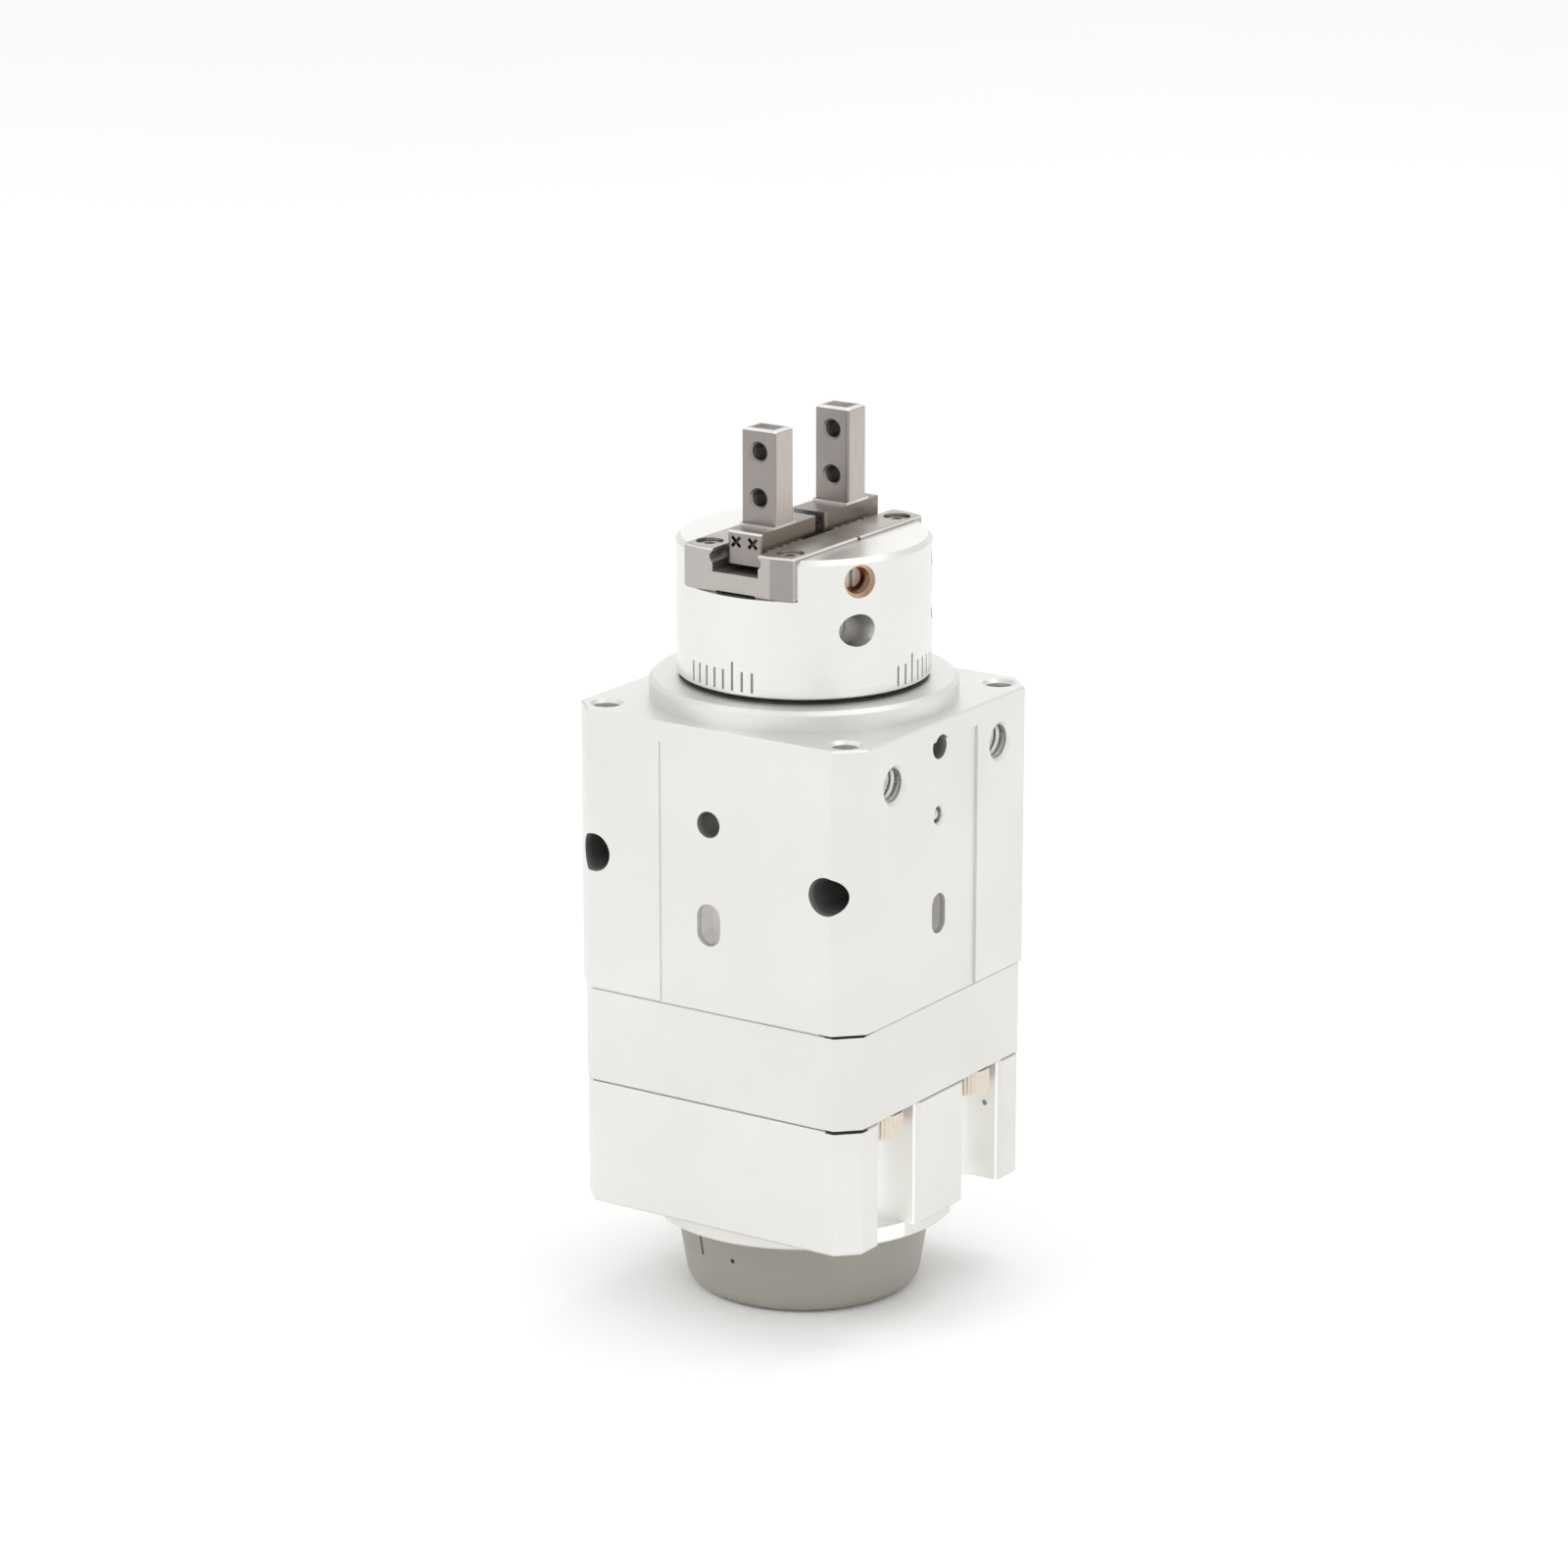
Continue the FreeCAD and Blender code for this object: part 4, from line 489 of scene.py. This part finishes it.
def chromated_zinc(name, colour):
    """Yellow-chromated zinc: cream with pink and green drifts."""
    g = Graph(name)
    drift = g.noise(380, 3, 0.6, None, 1.2)
    pink = (colour[0], colour[1] * 0.86, colour[2] * 0.92)
    green = (colour[0] * 0.86, colour[1], colour[2] * 0.8)
    g.colour(g.ramp(drift, [(0.28, pink), (0.5, colour), (0.74, green)]))
    g.roughness(g.span(g.noise(900, 3), 0.28, 0.42))
    g.normal(g.bump(g.noise(5200, 3), 12 * MICRON, 0.5))
    g.fixed(Metallic=0.8)
    return g.material


def rubber(name, colour):
    """Matt rubber with a faint bloom; a bonded magnet's surface is much the same."""
    g = Graph(name)
    bloom = g.noise(260, 4, 0.6)
    g.colour(g.ramp(bloom, [(0.35, colour), (0.75, tuple(part + 0.02 for part in colour))]))
    g.roughness(g.span(g.noise(700, 3), 0.5, 0.68))
    g.normal(g.bump(g.noise(3600, 3), 20 * MICRON, 0.5))
    g.fixed(Specular_IOR_Level=0.4)
    return g.material


def turned_metal(name, colour, low, high, metal=1.0, tint=0.88):
    """Small turned fittings: brass, bronze, plated or oxidised steel."""
    g = Graph(name)
    stain = g.noise(650, 4, 0.6, None, 0.5)
    g.colour(g.ramp(stain, [(0.3, shade(colour, tint)), (0.7, shade(colour, 1.08))]))
    g.roughness(g.span(g.noise(1500, 3), low, high))
    g.normal(g.bump(g.noise(1.0, 4, 0.6, g.stretched(900, 900, 9000)), 12 * MICRON, 0.5))
    g.fixed(Metallic=metal)
    return g.material


def marking_ink(name):
    """Grey filler in the engraved scale lines."""
    g = Graph(name)
    g.colour(g.ramp(g.noise(2400, 3), [(0.3, (0.16, 0.16, 0.155)), (0.7, (0.26, 0.26, 0.25))]))
    g.roughness(g.span(g.noise(1800, 2), 0.5, 0.7))
    g.normal(g.bump(g.noise(8000, 2), 10 * MICRON, 0.5))
    return g.material


# Painted shade in the gaps between the blocks, at both joints and at the front corner
JOINT_SHADES = [(upper_gap_shade, UPPER_GAP_SHADE), (lower_gap_shade, LOWER_GAP_SHADE), (front_corner_gap_shade, CORNER_GAP_SHADE)]
LOOKS = {
    "body_anodised": anodised("body_look", (0.755, 0.748, 0.722),
                              masks=[(body_bore_shade, BORE_SHADE), (body_slot_light, SLOT_LIGHT), *JOINT_SHADES]),
    "housing_anodised": anodised("housing_look", (0.765, 0.755, 0.722), 0.38, 0.5,
                                 masks=JOINT_SHADES),
    "end_block_anodised": anodised("end_block_look", (0.785, 0.775, 0.745), 0.38, 0.5, 0.72,
                                   masks=[(switch_channel_light, CHANNEL_LIGHT), *JOINT_SHADES]),
    "head_aluminium": turned_aluminium("head_look", (0.80, 0.795, 0.765),
                                       [(head_bore_shade, HEAD_BORE_SHADE)]),
    "cap_resin": moulded_resin("cap_look", (0.318, 0.304, 0.262), 0.38),
    "yellow_zinc": chromated_zinc("zinc_look", (0.74, 0.66, 0.57)),
    "dark_screw_steel": turned_metal("dark_screw_look", (0.09, 0.09, 0.092), 0.35, 0.5, 0.85),
    "bearing_steel": turned_metal("bearing_look", (0.68, 0.68, 0.69), 0.12, 0.2),
    "bronze": turned_metal("bronze_look", (0.46, 0.29, 0.14), 0.35, 0.5),
    "brass": turned_metal("brass_look", (0.56, 0.355, 0.235), 0.22, 0.34),
    "seal_rubber": rubber("rubber_look", (0.012, 0.012, 0.012)),
    "stopper_resin": moulded_resin("stopper_look", (0.05, 0.05, 0.052), 0.45),
    "shaft_steel": ground_steel("shaft_look", (0.48, 0.47, 0.46), (300, 300, 9000)),
    "magnet": rubber("magnet_look", (0.05, 0.045, 0.042)),
    "plug_steel": turned_metal("plug_look", (0.95, 0.935, 0.89), 0.3, 0.42, 0.85, 0.85),
    "guide_stainless": ground_steel("guide_look", (0.48, 0.45, 0.425), (5200, 260, 5200),
                                    masks=[(guide_facet_shade, GUIDE_FACET_SHADE), (guide_walls, GUIDE_FACE),
                                           (guide_edge_highlights, EDGE_HIGHLIGHT)]),
    "screw_stainless": turned_metal("screw_look", (0.50, 0.48, 0.46), 0.25, 0.36),
    "piston_aluminium": turned_aluminium("piston_look", (0.7, 0.7, 0.69)),
    "lever_steel": ground_steel("lever_look", (0.3, 0.29, 0.28), (4000, 300, 4000)),
    "finger_stainless": ground_steel("finger_look", (0.53, 0.475, 0.437), (5200, 5200, 240),
                                     masks=[(finger_face_shade, FINGER_FACE_SHADE), (foot_side_shade, FOOT_SIDE_SHADE),
                                            (foot_edge_highlights, EDGE_HIGHLIGHT), (stake_mark_shade, STAKE_SHADE),
                                            (finger_tip_highlight, FINGER_TIP_LIGHT), (finger_bore_shade, FINGER_BORE_SHADE)]),
}
THREAD_LOOK = anodised("thread_look", (0.74, 0.73, 0.70), 0.3, 0.4)

for name, obj in frame["nodes"].items():
    obj.data.materials.clear()
    obj.data.materials.append(LOOKS[SLOT_OF[name]])


# ---------------------------------------------------------------- added pieces

def add_mesh(name, points, faces, slot, body, look=None):
    """A mesh in the row frame, in metres, that rides a body and takes a slot's finish."""
    mesh = bpy.data.meshes.new(name)
    mesh.from_pydata([tuple(point) for point in points], [], faces)
    mesh.update()
    obj = bpy.data.objects.new(name, mesh)
    bpy.context.scene.collection.objects.link(obj)
    obj.data.materials.append(look or LOOKS[slot])
    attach(obj, body)


def basis(axis):
    """A turn that takes +Z to the axis."""
    return Vector((0, 0, 1)).rotation_difference(Vector(axis)).to_matrix()


# An internal thread's ridge over one pitch: on its crest or not, and how far along the pitch
RIDGE = ((False, 0.0), (True, 0.40), (True, 0.55), (False, 0.92))
THREAD_BITE = 0.01 * MM             # how far the ridge's root goes into the bore's wall
THINNEST = 0.02                     # the share of its depth that the ridge keeps at its ends


def thread(start, axis, radius, pitch, length, depth, steps=28):
    """Points and faces of an internal thread's ridge, closed at both ends."""
    turn = basis(axis)
    points = []
    count = int(length / pitch * steps)
    for number in range(count + 1):
        angle = 2 * math.pi * number / steps
        rise = pitch * number / steps
        ease = min(1.0, 2 * number / steps, 2 * (count - number) / steps)
        crest = radius - depth * max(THINNEST, ease)
        out = Vector((math.cos(angle), math.sin(angle), 0))
        for on_crest, level in RIDGE:
            reach = crest if on_crest else radius + THREAD_BITE
            spot = out * reach + Vector((0, 0, rise + pitch * level))
            points.append(Vector(start) + turn @ spot)
    faces = []
    for number in range(count):
        low = number * 4
        for side in range(4):
            after = (side + 1) % 4
            faces.append((low + side, low + 4 + side, low + 4 + after, low + after))
    faces.append((0, 1, 2, 3))
    last = count * 4
    faces.append((last + 3, last + 2, last + 1, last))
    return points, faces


def joined(pieces):
    """The points and faces of several pieces as those of one mesh."""
    points = []
    faces = []
    for more_points, more_faces in pieces:
        shift = len(points)
        points += more_points
        faces += [tuple(shift + corner for corner in face) for face in more_faces]
    return points, faces


def port_threads():
    """M5 threads in the four air ports."""
    inner_end = 2.6 * MM
    pieces = []
    for name in ("gripping_port_1", "gripping_port_2", "turning_port_1", "turning_port_2"):
        mount = MOUNTS[name]
        axis = Vector(mount["axis"])
        start = Vector(mount["pos_m"]) - axis * inner_end
        pieces.append(thread(start, axis, mount["dims"]["r_mm"] * MM,
                             pitch=0.8 * MM, length=4.25 * MM, depth=0.25 * MM))
    add_mesh("port_threads", *joined(pieces), "body_anodised", "housing", THREAD_LOOK)


def top_threads():
    """M4 threads in the four corner holes of the top face."""
    mount = MOUNTS["top_threads"]
    centre = Vector(mount["pos_m"])
    half = mount["dims"]["spacing_x_mm"] / 2 * MM
    radius = mount["dims"]["hole_r_mm"] * MM
    bottom = -7.6 * MM
    pieces = []
    for x in (-half, half):
        for y in (-half, half):
            start = centre + Vector((x, y, bottom))
            pieces.append(thread(start, (0, 0, 1), radius,
                                 pitch=0.7 * MM, length=6.4 * MM, depth=0.17 * MM))
    add_mesh("top_hole_threads", *joined(pieces), "body_anodised", "housing", THREAD_LOOK)


def finger_threads(number):
    """M2.5 threads right through a finger."""
    mount = MOUNTS[f"finger_{number}_threads"]
    axis = Vector(mount["axis"])
    centre = Vector(mount["pos_m"])
    half = mount["dims"]["spacing_y_mm"] / 2 * MM
    radius = mount["dims"]["hole_r_mm"] * MM
    inner_end = 1.6 * MM
    pieces = []
    for level in (-half, half):
        start = centre + Vector((0, 0, level)) - axis * inner_end
        pieces.append(thread(start, axis, radius,
                             pitch=0.45 * MM, length=2.7 * MM, depth=0.11 * MM, steps=22))
    add_mesh(f"finger_{number}_hole_threads", *joined(pieces), "finger_stainless",
             f"finger_{number}")


def scale_filler():
    """Grey filler, a little below flush, in the engraved lines of the head's angle scale."""
    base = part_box("dust_seal")[1].z + 0.8 * MM
    floor_r = HEAD_R - 0.137 * MM
    face_r = HEAD_R - 0.03 * MM
    half_turn = 0.155 * MM / HEAD_R
    main_lines = (-90, 0)
    # Inner then outer, low then high, across the line: 12 points, and the faces that close them
    faces = [(0, 1, 4, 3), (1, 2, 5, 4), (7, 6, 9, 10), (8, 7, 10, 11), (1, 0, 6, 7),
             (2, 1, 7, 8), (3, 4, 10, 9), (4, 5, 11, 10), (0, 3, 9, 6), (5, 2, 8, 11)]
    pieces = []
    for degrees in (*range(-115, -75, 5), *range(-10, 30, 5)):
        height = (3.58 if degrees in main_lines else 2.48) * MM
        middle = math.radians(degrees)
        points = []
        for reach in (floor_r, face_r):
            for level in (base + 0.01 * MM, base + height):
                for turn in (middle - half_turn, middle, middle + half_turn):
                    points.append(Vector((reach * math.cos(turn), reach * math.sin(turn), level)))
        pieces.append((points, faces))
    add_mesh("scale_filler", *joined(pieces), "head_aluminium", "turning_head",
             marking_ink("ink_look"))


def bolt_knurling():
    """The straight knurl round the heads of the four joint bolts."""
    low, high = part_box("joint_bolts")
    head_r = 2.75 * MM
    ridge = 0.07 * MM
    groove = -0.02 * MM
    teeth = 36
    # How high over the head's base each ring is, in mm, and how far it is drawn in
    rings = ((0.25, 0.97), (0.5, 1.0), (2.5, 1.0), (2.75, 0.97))
    pieces = []
    for x in (low.x + head_r, high.x - head_r):
        for y in (low.y + head_r, high.y - head_r):
            points = []
            faces = []
            for number in range(2 * teeth):
                reach = head_r + (ridge if number % 2 else groove)
                angle = math.pi * number / teeth
                side = Vector((math.cos(angle), math.sin(angle), 0))
                for level, pinch in rings:
                    points.append(Vector((x, y, low.z + level * MM)) + side * reach * pinch)
            for number in range(2 * teeth):
                after = (number + 1) % (2 * teeth)
                for band in range(len(rings) - 1):
                    low_left = number * len(rings) + band
                    low_right = after * len(rings) + band
                    faces.append((low_left, low_right, low_right + 1, low_left + 1))
            pieces.append((points, faces))
    add_mesh("joint_bolt_knurl", *joined(pieces), "yellow_zinc", "housing")


port_threads()
top_threads()
finger_threads(1)
finger_threads(2)
scale_filler()
bolt_knurling()


# ---------------------------------------------------------------- stage, light and camera

def floor():
    """A plain pale floor under the end cap."""
    g = Graph("floor_look")
    g.colour(g.ramp(g.noise(3, 3), [(0.3, (0.955, 0.955, 0.955)), (0.7, (0.975, 0.975, 0.975))]))
    g.roughness(g.span(g.noise(20, 3), 0.75, 0.85))
    g.fixed(Specular_IOR_Level=0.2)
    bpy.ops.mesh.primitive_plane_add(size=12, location=(0, 0, 0))
    plane = bpy.context.object
    plane.name = "floor"
    plane.data.materials.append(g.material)


def area_light(name, spot, target, width, height, power):
    data = bpy.data.lights.new(name, "AREA")
    data.shape = "RECTANGLE"
    data.size = width
    data.size_y = height
    data.energy = power
    light = bpy.data.objects.new(name, data)
    light.location = spot
    light.rotation_euler = (Vector(target) - Vector(spot)).to_track_quat("-Z", "Y").to_euler()
    bpy.context.scene.collection.objects.link(light)


def studio():
    """Soft white surroundings, and four large lamps aimed at the object's middle."""
    world = bpy.data.worlds.new("studio")
    world.use_nodes = True
    background = world.node_tree.nodes["Background"]
    background.inputs["Color"].default_value = (1.0, 1.0, 1.0, 1.0)
    background.inputs["Strength"].default_value = 0.88
    bpy.context.scene.world = world
    target = (0, 0, 60 * MM)
    area_light("key", (-0.35, -0.75, 0.75), target, 0.5, 0.5, 2.1)
    area_light("side", (0.9, -0.1, 0.45), target, 0.35, 0.7, 0.48)
    area_light("top", (0.1, 0.3, 1.0), target, 0.6, 0.6, 2.3)
    area_light("back", (-1.30, 2.00, 0.92), target, 2.4, 1.1, 2.6)


def camera():
    """A long lens, about 0.66 m from the object and a little above it."""
    data = bpy.data.cameras.new("camera")
    data.sensor_width = 36.0
    data.lens = 121.67
    data.clip_start = 0.01
    data.clip_end = 20.0
    view = bpy.data.objects.new("camera", data)
    spot = Vector((348.92, -525.11, 243.51)) * MM
    target = Vector((-2.06, -1.38, 64.51)) * MM
    view.location = spot
    view.rotation_euler = (target - spot).to_track_quat("-Z", "Y").to_euler()
    bpy.context.scene.collection.objects.link(view)
    bpy.context.scene.camera = view


floor()
studio()
camera()
bpy.context.scene.view_settings.view_transform = "Standard"
